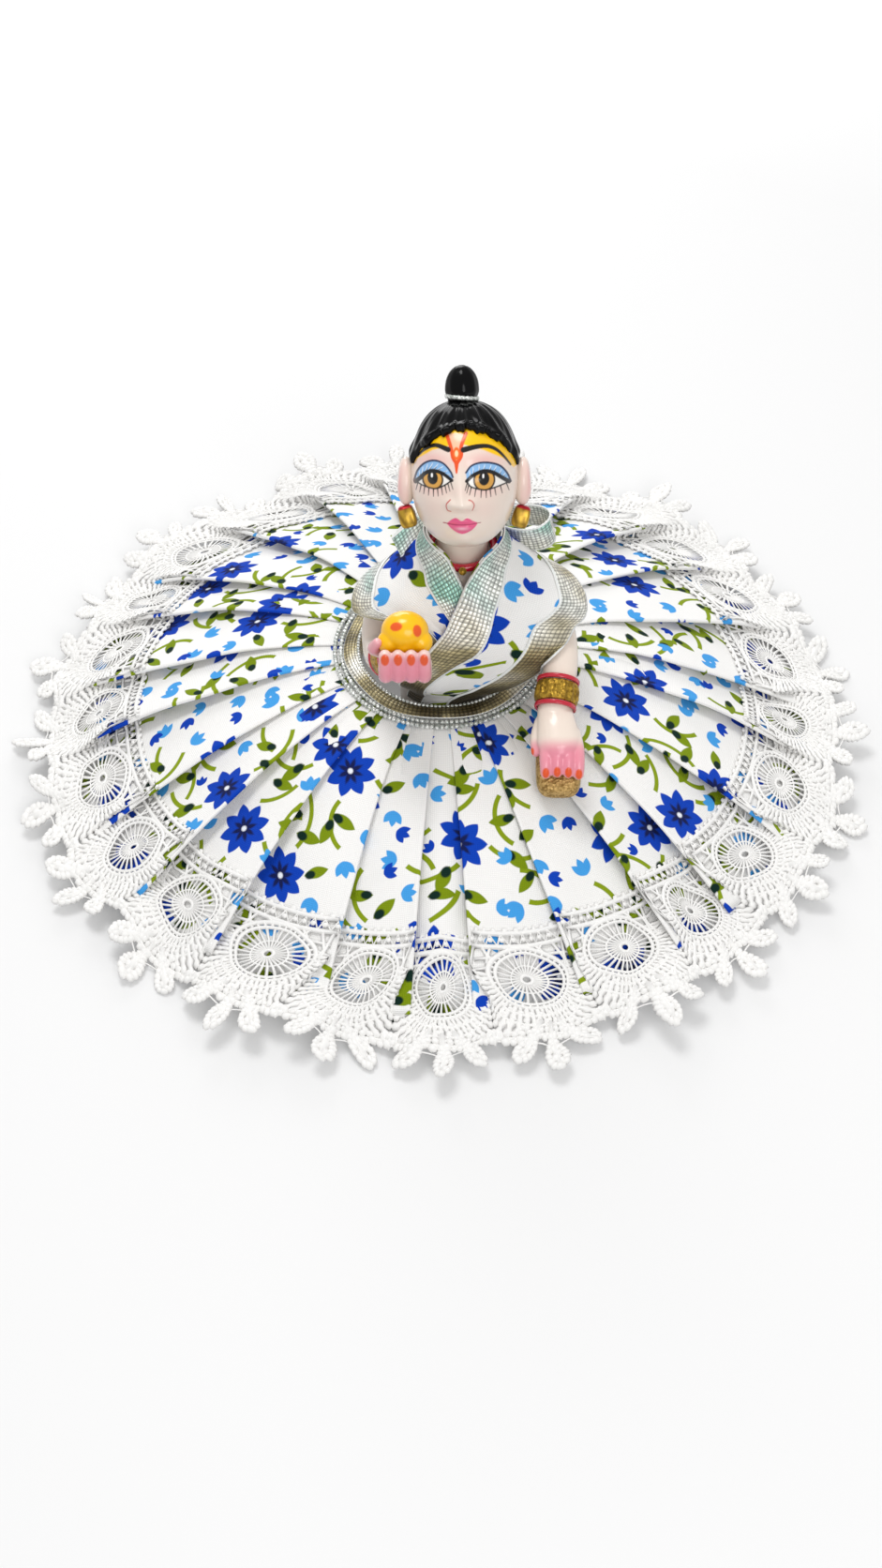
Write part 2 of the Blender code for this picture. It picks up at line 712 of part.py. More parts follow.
def hair_cap():
    frame = head_frame()
    columns = 36
    levels = 6
    rings = []
    for i in range(columns):
        bearing = 2.0 * math.pi * i / columns
        ridge = HAIR_RIDGE_DEPTH * (0.5 - 0.5 * math.cos(bearing * HAIR_RIDGES))
        start = hairline_height(bearing)
        outer, inner = [], []
        for k in range(levels + 1):
            share = math.sin(0.5 * math.pi * k / levels)
            for row, grow, dip in ((outer, HAIR_SEAT + HAIR_THICK, ridge), (inner, HAIR_SEAT, 0.0)):
                top = CROWN_HEIGHT + grow
                fade = 1.0 - share
                row.append(head_point(bearing, start + (top - start) * share, grow - dip * fade))
        rings.append([frame @ point for point in outer + inner[::-1]])
    return skin_rings("hair_cap", rings, loop=True)


def crown_height():
    return CROWN_HEIGHT + HAIR_SEAT + HAIR_THICK + SEAT_GAP


def topknot():
    foot = crown_height()
    rings = []
    waist = TOPKNOT_FOOT / TOPKNOT_RADIUS
    shape = [(0.0, waist), (0.10, waist), (0.24, 0.92), (0.40, 1.0)]
    shape += [(0.58, 1.0), (0.78, 0.82), (0.92, 0.52), (1.0, 0.18)]
    for up, swell in shape:
        radius = TOPKNOT_RADIUS * swell
        height = foot + TOPKNOT_HEIGHT * up
        ring = []
        for i in range(SMALL_SIDES):
            angle = 2.0 * math.pi * i / SMALL_SIDES
            ring.append(Vector((radius * math.cos(angle), radius * math.sin(angle), height)))
        rings.append(ring)
    return skin_rings("topknot", placed(rings, head_frame()))


def topknot_band():
    radius = TOPKNOT_FOOT + SEAT_GAP + TOPKNOT_BAND_RADIUS
    height = crown_height() + TOPKNOT_BAND_RADIUS
    outline = round_outline(radius, height, TOPKNOT_BAND_RADIUS * 0.85, 6)
    return turn_outline("topknot_band", outline, SMALL_SIDES, head_frame())


def earring(name, side):
    frame = head_frame()
    bm = bmesh.new()
    bmesh.ops.create_cube(bm, size=1.0)
    top = ear_middle(side).z - EAR_LENGTH / 2.0 - SEAT_GAP
    across = side * (HEAD_WIDTH / 2.0 + EARRING_WIDTH * 0.22)
    hang = Vector((across, ear_middle(side).y, top - EARRING_DROP - EARRING_HEIGHT / 2.0))
    lean = Matrix.Rotation(side * EARRING_LEAN, 4, "Y")
    size = Vector((EARRING_WIDTH, EARRING_DEPTH, EARRING_HEIGHT))
    for vert in bm.verts:
        vert.co = Vector([vert.co[i] * size[i] for i in range(3)])
    bevel_edges(bm, EARRING_WIDTH * 0.28, 2)
    bmesh.ops.transform(bm, matrix=frame @ Matrix.Translation(hang) @ lean, verts=bm.verts)
    return make_object(name, bm)


def necklace_height():
    return trunk_top().z + SEAT_GAP + NECKLACE_RADIUS


def necklace_band():
    base = trunk_top()
    lean = (NECK_TOP - base).normalized()
    centre = base + lean * (SEAT_GAP + NECKLACE_RADIUS * 2.0)
    place = Matrix.Translation(Vector((centre.x, centre.y, 0.0)))
    ring_radius = NECK_RADIUS + 2.0 * SEAT_GAP + NECKLACE_RADIUS
    outline = round_outline(ring_radius, necklace_height(), NECKLACE_RADIUS, 8)
    return turn_outline("necklace_band", outline, SMALL_SIDES, place)


def necklace_pendant():
    base = trunk_top()
    reach = NECK_RADIUS + 2.0 * (SEAT_GAP + NECKLACE_RADIUS) + SEAT_GAP + PENDANT_RADIUS
    centre = Vector((base.x, base.y - reach, necklace_height() + PENDANT_RADIUS))
    half = (PENDANT_RADIUS, PENDANT_RADIUS, PENDANT_RADIUS)
    return skin_rings("necklace_pendant", ball_rings(centre, half, 10, 6))


# Arms and hands
def finger(name, points, radius):
    joints = [(point, radius) for point in points]
    return limb(name, joints, sides=FINGER_SIDES, steps=2)


def finger_offsets():
    return [(k - 1.5) * FINGER_PITCH for k in range(4)]


def seat_on_trunk(arm):
    grown = skin_rings("trunk_seat", trunk_rings(SEAT_GAP))
    return combine(arm, [grown], "DIFFERENCE")


def above_skirt(place):
    across, along, rise = place
    return Vector((across, along, lace_top(math.hypot(across, along)) + rise))


def arm_left():
    joints = in_metres(LEFT_ARM)
    wrist = joints[-1][0]
    knuckles = above_skirt(LEFT_KNUCKLES_AT)
    fingertip = above_skirt(LEFT_FINGERTIP_AT)
    arm = limb("arm_left", joints)
    palm_joints = [
        (wrist, joints[-1][1]),
        (wrist.lerp(knuckles, 0.6), PALM_HALF_WIDTH),
        (knuckles, PALM_HALF_WIDTH * 0.95),
    ]
    pieces = [limb("palm", palm_joints, steps=3, flatten=PALM_HALF_THICK / PALM_HALF_WIDTH)]
    for offset in finger_offsets():
        across = Vector((offset, 0.0, 0.0))
        bend = knuckles.lerp(fingertip, 0.5) + Vector((0.0, 0.0, FINGER_RADIUS * 0.4))
        points = [knuckles + across, bend + across, fingertip + across]
        pieces.append(finger("finger", points, FINGER_RADIUS))
    thumb_root = wrist.lerp(knuckles, 0.6) - Vector((PALM_HALF_WIDTH * 0.8, 0.0, 0.0))
    thumb_side = Vector((PALM_HALF_WIDTH + THUMB_RADIUS, 0.0, 0.0))
    thumb_tip = knuckles.lerp(fingertip, 0.25) - thumb_side
    pieces.append(finger("thumb", [thumb_root, thumb_tip], THUMB_RADIUS))
    return seat_on_trunk(combine(arm, pieces, "UNION"))


def arm_right():
    joints = in_metres(RIGHT_ARM)
    wrist = joints[-1][0]
    arm = limb("arm_right", joints)
    half = (PALM_HALF_WIDTH, PALM_HALF_LENGTH, PALM_HALF_THICK)
    heel = [(wrist, joints[-1][1]), (wrist.lerp(RIGHT_PALM, 0.8), joints[-1][1] * 0.8)]
    pieces = [skin_rings("palm", ball_rings(RIGHT_PALM, half, LIMB_SIDES, 8)), limb("heel", heel, steps=2)]
    for offset in finger_offsets():
        knuckle = RIGHT_PALM + Vector((offset, -PALM_HALF_LENGTH, FINGER_RADIUS * 0.5))
        root = knuckle + Vector((0.0, FINGER_RADIUS * 2.0, -FINGER_RADIUS * 0.75))
        tip = knuckle + Vector((0.0, 0.0, FINGER_RISE - FINGER_RADIUS))
        pieces.append(finger("finger", [root, knuckle, tip], FINGER_RADIUS))
    thumb_root = RIGHT_PALM - Vector((PALM_HALF_WIDTH, 0.0, 0.0))
    thumb_out = SWEET_HALF_WIDTH + SEAT_GAP + THUMB_RADIUS
    thumb_tip = RIGHT_PALM + Vector((-thumb_out, -THUMB_RADIUS * 0.5, FINGER_RISE))
    pieces.append(finger("thumb", [thumb_root, thumb_tip], THUMB_RADIUS))
    return seat_on_trunk(combine(arm, pieces, "UNION"))


def sweet_ball():
    foot = RIGHT_PALM.z + PALM_HALF_THICK + SEAT_GAP
    front_gap = RIGHT_PALM.y - PALM_HALF_LENGTH + FINGER_RADIUS + SEAT_GAP
    centre_y = front_gap + SWEET_HALF_DEPTH
    rings = []
    shape = [(0.0, 0.70), (0.10, 0.86), (0.26, 0.98), (0.40, 0.94)]
    shape += [(0.52, 0.99), (0.70, 0.88), (0.86, 0.62), (1.0, 0.22)]
    for up, share in shape:
        ring = []
        for i in range(SMALL_SIDES):
            angle = 2.0 * math.pi * i / SMALL_SIDES
            lump = share * (1.0 - 0.03 * math.cos(5.0 * angle))
            across = SWEET_HALF_WIDTH * lump * math.cos(angle)
            along = SWEET_HALF_DEPTH * lump * math.sin(angle)
            ring.append(Vector((RIGHT_PALM.x + across, centre_y + along, foot + SWEET_HEIGHT * up)))
        rings.append(ring)
    return skin_rings("sweet_ball", rings)


# Wedge under the left hand, bearing on the skirt below and the fingers above
def hand_block():
    knuckles = above_skirt(LEFT_KNUCKLES_AT)
    fingertip = above_skirt(LEFT_FINGERTIP_AT)
    front = fingertip.y - FINGER_RADIUS * 0.4
    back = front + BLOCK_LENGTH
    middle = fingertip.x
    wrist = in_metres(LEFT_ARM)[-1][0]
    finger_slope = (knuckles.z - fingertip.z) / (knuckles.y - fingertip.y)
    palm_slope = (wrist.z - knuckles.z) / (wrist.y - knuckles.y)
    front_top = fingertip.z + finger_slope * (front - fingertip.y) - FINGER_RADIUS - HAND_CLEAR
    back_top = knuckles.z + palm_slope * (back - knuckles.y) - PALM_HALF_THICK - HAND_CLEAR
    inner = math.hypot(middle - BLOCK_WIDTH / 2.0, back)
    bottom_back = lace_top(inner) - LACE_THICK
    bottom_front = lace_top(math.hypot(middle - BLOCK_WIDTH / 2.0, front)) - LACE_THICK
    profile = [(front, bottom_front), (front, front_top), (back, back_top), (back, bottom_back)]
    bm = bmesh.new()
    sides = []
    for across in (-BLOCK_WIDTH / 2.0, BLOCK_WIDTH / 2.0):
        sides.append([bm.verts.new((middle + across, y, z)) for y, z in profile])
    near, far = sides
    bm.faces.new(near)
    bm.faces.new(far)
    for i in range(4):
        j = (i + 1) % 4
        bm.faces.new((near[i], near[j], far[j], far[i]))
    bmesh.ops.recalc_face_normals(bm, faces=bm.faces)
    bevel_edges(bm, min(BLOCK_BEVEL, (front_top - bottom_front) * 0.4), 3)
    return make_object("hand_block", bm)


def bangle_ring(name, joints, start, width):
    wrist, radius = joints[-1]
    before = joints[-2][0]
    lean = (before - wrist).normalized()
    turn = lean.to_track_quat("Z", "Y").to_matrix().to_4x4()
    place = Matrix.Translation(wrist + lean * start) @ turn
    share = (start + width) / (before - wrist).length
    widest = radius + (joints[-2][1] - radius) * share
    inner = max(widest, radius) + BANGLE_CLEAR
    outer = inner + BANGLE_THICK
    outline = [(inner, 0.0), (inner, width), (outer, width * 0.85), (outer, width * 0.15)]
    return turn_outline(name, outline, SMALL_SIDES, place)


def bangles(side, joints):
    rim_step = BANGLE_RIM_WIDTH + SEAT_GAP
    band_start = BANGLE_FROM_WRIST + rim_step
    upper_start = band_start + BANGLE_BAND_WIDTH + SEAT_GAP
    lower = bangle_ring("bangle_" + side + "_lower_rim", joints, BANGLE_FROM_WRIST, BANGLE_RIM_WIDTH)
    band = bangle_ring("bangle_" + side + "_band", joints, band_start, BANGLE_BAND_WIDTH)
    upper = bangle_ring("bangle_" + side + "_upper_rim", joints, upper_start, BANGLE_RIM_WIDTH)
    return lower, band, upper


# Scarf, draped round the neck and crossed in front
def drape_point(bearing, height):
    x, y, wide, deep, squareness = row_at(DRAPE_SECTIONS, height)
    angle = math.radians(bearing)
    across = math.sin(angle)
    along = math.cos(angle)
    power = 2.0 / squareness
    px = x + wide * math.copysign(abs(across) ** power, across)
    py = y - deep * math.copysign(abs(along) ** power, along)
    return Vector((px, py, height)) * MM


def lifted_point(bearing, height, lift):
    step = 0.5
    here = drape_point(bearing, height)
    turn = drape_point(bearing + step, height) - drape_point(bearing - step, height)
    rise = drape_point(bearing, height + step) - drape_point(bearing, height - step)
    outward = turn.cross(rise).normalized()
    return here + outward * lift


def scarf_rows():
    table = [(float(k), *inner, *outer) for k, (inner, outer) in enumerate(SCARF_OVER + SCARF_UNDER)]
    last = table[-1][0]
    rows = [row_at(table, last * k / SCARF_STEPS) for k in range(SCARF_STEPS + 1)]
    return [(k / SCARF_STEPS, row) for k, row in enumerate(rows)]


def scarf_lift(along):
    stack = SCARF_THICK + TRIM_LIFT + TRIM_THICK + LAYER_GAP
    share = min(max((along - 0.3) / 0.2, 0.0), 1.0)
    share = share * share * (3.0 - 2.0 * share)
    return SEAT_GAP + stack * (1.0 - share)


# A band of the scarf between two shares of its width, lying a given way above the drape
def scarf_band(name, start, end, columns, above, thick):
    rings = []
    for along, (inner_a, inner_z, outer_a, outer_z) in scarf_rows():
        lower, upper = [], []
        for k in range(columns + 1):
            share = start + (end - start) * k / columns
            bearing = inner_a + (outer_a - inner_a) * share
            height = inner_z + (outer_z - inner_z) * share
            lift = scarf_lift(along) + above
            lower.append(lifted_point(bearing, height, lift))
            upper.append(lifted_point(bearing, height, lift + thick))
        rings.append(lower + upper[::-1])
    return skin_rings(name, rings)


def scarf_cloth():
    return scarf_band("scarf_cloth", 0.0, 1.0, SCARF_COLUMNS, 0.0, SCARF_THICK)


def scarf_trim(name, start, end):
    return scarf_band(name, start, end, 2, SCARF_THICK + TRIM_LIFT, TRIM_THICK)


# Bow
def bow_back():
    stack = scarf_lift(0.5) + SCARF_THICK + TRIM_LIFT + TRIM_THICK + SEAT_GAP
    levels = [BOW_HEIGHT / MM + step * BOW_RIBBON_WIDTH / MM / 2.0 for step in (-1.0, 0.0, 1.0)]
    return max(lifted_point(180.0, level, stack).y for level in levels)


def bow_middle():
    return Vector((BOW_X, bow_back() + BOW_KNOT_DEPTH / 2.0, BOW_HEIGHT))


def bow_knot():
    bm = bmesh.new()
    bmesh.ops.create_cube(bm, size=1.0)
    size = Vector((BOW_KNOT_WIDTH, BOW_KNOT_DEPTH, BOW_RIBBON_WIDTH))
    for vert in bm.verts:
        vert.co = bow_middle() + Vector([vert.co[i] * size[i] for i in range(3)])
    bevel_edges(bm, BOW_KNOT_DEPTH * 0.25, 2)
    return make_object("bow_knot", bm)


def bow_loop(name, side):
    middle = bow_middle()
    half = BOW_LOOP_LENGTH / 2.0
    centre_x = middle.x + side * (BOW_KNOT_WIDTH / 2.0 + SEAT_GAP + half)
    rings = []
    steps = 20
    for k in range(steps):
        angle = 2.0 * math.pi * k / steps
        out = Vector((math.cos(angle), math.sin(angle), 0.0))
        pinch = 0.62 - 0.38 * math.cos(angle) * -side
        tall = BOW_RIBBON_WIDTH / 2.0 * (0.78 - 0.22 * math.cos(angle) * -side)
        ring = []
        for grow, up in ((0.0, -1.0), (0.0, 1.0), (-BOW_RIBBON_THICK, 1.0), (-BOW_RIBBON_THICK, -1.0)):
            x = centre_x + out.x * (half + grow)
            y = middle.y + out.y * (BOW_LOOP_OPENING / 2.0 * pinch + grow)
            ring.append(Vector((x, y, middle.z + up * tall)))
        rings.append(ring)
    return skin_rings(name, rings, loop=True)


def bow_tail(name, side):
    middle = bow_middle()
    foot = middle.z - BOW_RIBBON_WIDTH / 2.0 - SEAT_GAP
    rings = []
    steps = 6
    for k in range(steps + 1):
        share = k / steps
        centre_x = middle.x + side * (BOW_RIBBON_WIDTH * 0.3 + BOW_TAIL_SPREAD * share)
        half = BOW_RIBBON_WIDTH / 2.0 * (0.5 + 0.5 * min(share * 2.0, 1.0))
        wave = math.sin(share * math.pi * 1.5) * BOW_TAIL_WAVE
        y = middle.y + side * (BOW_RIBBON_THICK + SEAT_GAP) + wave
        z = foot - BOW_TAIL_LENGTH * share
        slant = side * half * 0.25
        back = BOW_RIBBON_THICK
        ring = []
        for across, along in ((-half, 0.0), (half, 0.0), (half, back), (-half, back)):
            rise = slant * across / half if k == steps else 0.0
            ring.append(Vector((centre_x + across, y + along, z + rise)))
        rings.append(ring)
    return skin_rings(name, rings)


def build():
    remove_everything()
    dress = make_empty("dress", Vector((0.0, 0.0, 0.0)))
    figure = make_empty("figure", Vector((TRUNK_X, 0.0, 0.0)))

    finish_object(skirt_cloth(), "printed_cotton", dress)
    finish_object(skirt_lining(), "lining", dress)
    finish_object(hem_lace(), "white_lace", dress)
    finish_object(waistband_ribbon(), "metallic_ribbon", dress)
    finish_object(waist_piping("waist_piping_upper", 0), "silver_piping", dress)
    finish_object(waist_piping("waist_piping_lower", 1), "silver_piping", dress)

    finish_object(trunk(), "white_marble", figure)
    finish_object(head(), "white_marble", figure)
    finish_object(hair_cap(), "black_hair", figure)
    finish_object(topknot(), "black_hair", figure)
    finish_object(topknot_band(), "silver_band", figure)
    finish_object(earring("earring_right", -1.0), "gold_paint", figure)
    finish_object(earring("earring_left", 1.0), "gold_paint", figure)
    finish_object(necklace_band(), "red_enamel", figure)
    finish_object(necklace_pendant(), "gold_paint", figure)
    finish_object(arm_left(), "white_marble", figure)
    finish_object(arm_right(), "white_marble", figure)
    finish_object(sweet_ball(), "yellow_sweet", figure)
    finish_object(hand_block(), "gold_paint", figure)
    for side, joints in (("left", LEFT_ARM), ("right", RIGHT_ARM)):
        lower, band, upper = bangles(side, in_metres(joints))
        finish_object(lower, "red_enamel", figure)
        finish_object(band, "gold_paint", figure)
        finish_object(upper, "red_enamel", figure)
    finish_object(scarf_cloth(), "printed_cotton", figure)
    finish_object(scarf_trim("scarf_trim_inner", 0.0, TRIM_SHARE), "metallic_ribbon", figure)
    finish_object(scarf_trim("scarf_trim_outer", 1.0 - TRIM_SHARE, 1.0), "metallic_ribbon", figure)
    finish_object(bow_knot(), "metallic_ribbon", figure)
    finish_object(bow_loop("bow_loop_right", -1.0), "metallic_ribbon", figure)
    finish_object(bow_loop("bow_loop_left", 1.0), "metallic_ribbon", figure)
    finish_object(bow_tail("bow_tail_right", -1.0), "metallic_ribbon", figure)
    finish_object(bow_tail("bow_tail_left", 1.0), "metallic_ribbon", figure)


build()
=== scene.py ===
import math

import bmesh
import bpy
import numpy as np
from mathutils import Matrix, Vector


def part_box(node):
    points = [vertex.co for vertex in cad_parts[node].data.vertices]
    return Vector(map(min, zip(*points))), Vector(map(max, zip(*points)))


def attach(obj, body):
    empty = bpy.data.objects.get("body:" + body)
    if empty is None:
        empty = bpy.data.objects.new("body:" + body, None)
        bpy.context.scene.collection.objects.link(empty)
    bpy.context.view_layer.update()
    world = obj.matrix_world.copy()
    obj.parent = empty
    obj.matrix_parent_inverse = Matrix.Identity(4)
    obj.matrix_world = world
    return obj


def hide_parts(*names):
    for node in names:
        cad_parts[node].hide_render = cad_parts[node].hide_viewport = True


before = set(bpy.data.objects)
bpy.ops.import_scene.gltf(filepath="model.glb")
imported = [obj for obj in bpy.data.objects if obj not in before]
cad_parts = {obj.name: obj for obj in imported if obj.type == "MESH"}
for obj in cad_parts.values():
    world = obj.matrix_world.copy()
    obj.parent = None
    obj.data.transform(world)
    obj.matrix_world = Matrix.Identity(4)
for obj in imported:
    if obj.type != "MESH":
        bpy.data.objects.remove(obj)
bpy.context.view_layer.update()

mm = 0.001  # every length below is in millimetres
dice = np.random.default_rng(11)


def paint(code):
    shades = [int(code[i:i + 2], 16) / 255 for i in (0, 2, 4)]
    return tuple(s / 12.92 if s < 0.04 else ((s + 0.055) / 1.055) ** 2.4 for s in shades) + (1.0,)


def ease(value, low, high):
    share = np.clip((np.asarray(value, float) - low) / (high - low), 0, 1)
    return share * share * (3 - 2 * share)


def softEdge(gap, soft):  # 0 to 1 across a soft outline
    return np.clip(gap / soft + 0.5, 0, 1)


def fullTurn(count):
    return np.linspace(0, 2 * np.pi, count, endpoint=False)


def boxy(wave, power):  # a sine or cosine, squared up
    return np.sign(wave) * np.abs(wave) ** (2 / power)


def roundSpot(radius, turn, height):  # turn 0 is the front
    return np.stack(np.broadcast_arrays(radius * np.sin(turn), -radius * np.cos(turn), height), -1)


def flatMap(along, across):
    return np.stack(np.broadcast_arrays(along, across), -1)


def runLength(points):  # distance walked along a line of points
    return np.concatenate([[0.0], np.cumsum(np.linalg.norm(np.diff(points, axis=0), axis=1))])


def unit(vectors):
    return vectors / np.maximum(np.linalg.norm(vectors, axis=-1, keepdims=True), 1e-9)


def addPiece(name, points, faces, uv=None):
    mesh = bpy.data.meshes.new(name)
    mesh.from_pydata((np.asarray(points, float).reshape(-1, 3) * mm).tolist(), [], [tuple(f) for f in faces])
    if uv is not None:
        layer = mesh.uv_layers.new(name="flat")
        layer.data.foreach_set("uv", np.asarray(uv, np.float32).ravel())
    mesh.shade_smooth()
    piece = bpy.data.objects.new(name, mesh)
    bpy.context.scene.collection.objects.link(piece)
    return piece


def gridCorners(rows, columns, wrapRows=False, wrapColumns=False):
    r, c = np.meshgrid(np.arange(rows if wrapRows else rows - 1),
                       np.arange(columns if wrapColumns else columns - 1), indexing="ij")
    return (r, c), (r, c + 1), (r + 1, c + 1), (r + 1, c)


def gridFaces(rows, columns, wrapRows=False, wrapColumns=False):
    corners = gridCorners(rows, columns, wrapRows, wrapColumns)
    return np.stack([(a % rows) * columns + b % columns for a, b in corners], -1).reshape(-1, 4).tolist()


def gridPiece(name, points, uv=None, wrapRows=False, wrapColumns=False):
    rows, columns = points.shape[:2]
    flat = None
    if uv is not None:
        flat = np.stack([uv[a, b] for a, b in gridCorners(rows, columns, wrapRows, wrapColumns)], -2)
    return addPiece(name, points, gridFaces(rows, columns, wrapRows, wrapColumns), flat)


def closedRings(rings, loop=False):  # a skin over rings of points, shut at both ends
    rings = np.asarray(rings, float)
    count, sides = rings.shape[:2]
    faces = gridFaces(count, sides, loop, True)
    points = rings.reshape(-1, 3)
    if loop:
        return points, faces
    last = (count - 1) * sides
    points = np.vstack([points, rings[0].mean(0), rings[-1].mean(0)])
    for k in range(sides):
        after = (k + 1) % sides
        faces.append((count * sides, after, k))
        faces.append((count * sides + 1, last + k, last + after))
    return points, faces


def joinShapes(shapes):
    points, faces, start = [], [], 0
    for shapePoints, shapeFaces in shapes:
        points.append(shapePoints)
        faces += [tuple(i + start for i in face) for face in shapeFaces]
        start += len(shapePoints)
    return np.vstack(points), faces


def smoothLine(points, per=8):
    points = np.asarray(points, float)
    padded = np.vstack([2 * points[0] - points[1], points, 2 * points[-1] - points[-2]])
    t = np.linspace(0, 1, per, endpoint=False)[:, None]
    rows = []
    for a, b, c, d in zip(padded, padded[1:], padded[2:], padded[3:]):
        rows.append(0.5 * (2 * b + (c - a) * t + (2 * a - 5 * b + 4 * c - d) * t**2
                           + (3 * b - a - 3 * c + d) * t**3))
    return np.vstack(rows + [points[-1:]])


def sweep(path, radii, sides=20, flat=1.0):  # a round bar along a path, with round ends
    path = np.asarray(path, float)
    radii = np.broadcast_to(np.asarray(radii, float), (len(path),))
    along = unit(np.gradient(path, axis=0))
    guess = np.array((0.0, 0.0, 1.0)) if abs(along[0][2]) < 0.9 else np.array((1.0, 0.0, 0.0))
    across = unit(np.cross(along[0], guess))
    angles = fullTurn(sides)[:, None]
    capTurns = (0.25, 0.7, 1.15)
    rings = []
    for k, (centre, ahead, radius) in enumerate(zip(path, along, radii)):
        across = unit(across - ahead * (across @ ahead))
        up = np.cross(ahead, across)
        circle = across * np.cos(angles) + up * np.sin(angles) * flat
        if k == 0:
            rings += [centre - ahead * radius * math.cos(a) + circle * radius * math.sin(a) for a in capTurns]
        rings.append(centre + circle * radius)
        if k == len(path) - 1:
            rings += [centre + ahead * radius * math.cos(a) + circle * radius * math.sin(a) for a in capTurns[::-1]]
    return closedRings(rings)


def ball(centre, half, sides=20, levels=12, power=2.0):
    angle = fullTurn(sides)
    rings = []
    for level in np.linspace(-1, 1, levels + 2)[1:-1]:
        height = math.sin(level * math.pi / 2)
        share = max(1 - abs(height) ** power, 1e-6) ** (1 / power)
        x, y = boxy(np.cos(angle), power) * share, boxy(np.sin(angle), power) * share
        rings.append(np.stack([x, y, np.full(sides, height)], -1) * half + centre)
    return closedRings(rings)


def ringShape(radius, tube, count=72, sides=14, lumps=0, lumpShare=0.0):
    turn, around = fullTurn(count)[:, None], fullTurn(sides)[None]
    thick = tube * (1 + lumpShare * np.cos(turn * lumps))
    far = radius + thick * np.cos(around)
    return closedRings(np.stack([far * np.cos(turn), far * np.sin(turn), thick * np.sin(around) + 0 * turn], -1), True)


def bake(piece):  # modifiers become a plain mesh
    graph = bpy.context.evaluated_depsgraph_get()
    solid = bpy.data.meshes.new_from_object(piece.evaluated_get(graph), depsgraph=graph)
    old = piece.data
    piece.modifiers.clear()
    piece.data = solid
    bpy.data.meshes.remove(old)
    solid.name = piece.name
    solid.shade_smooth()
    return piece


def thicken(piece, thick, offset=0.0):
    wall = piece.modifiers.new("wall", "SOLIDIFY")
    wall.thickness = thick * mm
    wall.offset = offset
    wall.use_rim = True
    return bake(piece)


def fuse(piece, voxel, rounds):  # overlapping shapes grow into one smooth body
    shell = piece.modifiers.new("shell", "REMESH")
    shell.mode = "VOXEL"
    shell.voxel_size = voxel * mm
    soften = piece.modifiers.new("soften", "SMOOTH")
    soften.factor = 0.5
    soften.iterations = rounds
    return bake(piece)


def turnOut(piece):
    bm = bmesh.new()
    bm.from_mesh(piece.data)
    bmesh.ops.recalc_face_normals(bm, faces=bm.faces)
    bm.to_mesh(piece.data)
    bm.free()
    return piece


def solidPiece(name, points, faces):
    return turnOut(addPiece(name, points, faces))


def clothPiece(name, points, uv, thick, offset=0.0, **wraps):
    return turnOut(thicken(gridPiece(name, points, uv, **wraps), thick, offset))


def sheetArea(piece):  # one face of a thick sheet, in square metres
    return sum(face.area for face in piece.data.polygons) / 2


def meshPoints(piece):
    points = np.empty(len(piece.data.vertices) * 3)
    piece.data.vertices.foreach_get("co", points)
    return points.reshape(-1, 3) / mm


def setPoints(piece, points):
    piece.data.vertices.foreach_set("co", (points * mm).ravel())
    piece.data.update()


def colourPoints(piece, colours):
    layer = piece.data.attributes.new("paint", "FLOAT_COLOR", "POINT")
    layer.data.foreach_set("color", np.asarray(colours, np.float32).ravel())


def coat(code, count):  # one paint over all points
    return np.tile(np.array(paint(code)), (count, 1))


def blendColour(colours, mask, code):
    mask = np.clip(mask, 0, 1)[:, None]
    colours[:] = colours * (1 - mask) + np.array(paint(code)) * mask


def spotMask(points, centre, half):  # a painted spot with a soft edge
    away = (points - np.array(centre)) / np.array(half)
    return ease(-np.linalg.norm(away, axis=1), -1.15, -0.85)


def copiesTree(name, sizes, layPoints):  # one shape, copied onto a layout of points
    tree = bpy.data.node_groups.new(name, "GeometryNodeTree")
    sockets = {}
    for label, kind in {"Geometry": "Geometry", **sizes, "Material": "Material"}.items():
        sockets[label] = tree.interface.new_socket(label, in_out="INPUT", socket_type="NodeSocket" + kind)
    tree.interface.new_socket("Geometry", in_out="OUTPUT", socket_type="NodeSocketGeometry")
    start, end = tree.nodes.new("NodeGroupInput"), tree.nodes.new("NodeGroupOutput")
    copies = tree.nodes.new("GeometryNodeInstanceOnPoints")
    real = tree.nodes.new("GeometryNodeRealizeInstances")
    dress = tree.nodes.new("GeometryNodeSetMaterial")
    for source, target in ((layPoints(tree, start), copies.inputs["Points"]),
                           (start.outputs["Geometry"], copies.inputs["Instance"]),
                           (copies.outputs[0], real.inputs[0]), (real.outputs[0], dress.inputs["Geometry"]),
                           (start.outputs["Material"], dress.inputs["Material"]), (dress.outputs[0], end.inputs[0])):
        tree.links.new(source, target)
    return tree, sockets


def copied(name, shape, tree, sockets, values):
    piece = addPiece(name, *shape)
    row = piece.modifiers.new("copies", "NODES")
    row.node_group = tree
    for label, value in values.items():
        row[sockets[label].identifier] = value
    return bake(piece)


# Shader building


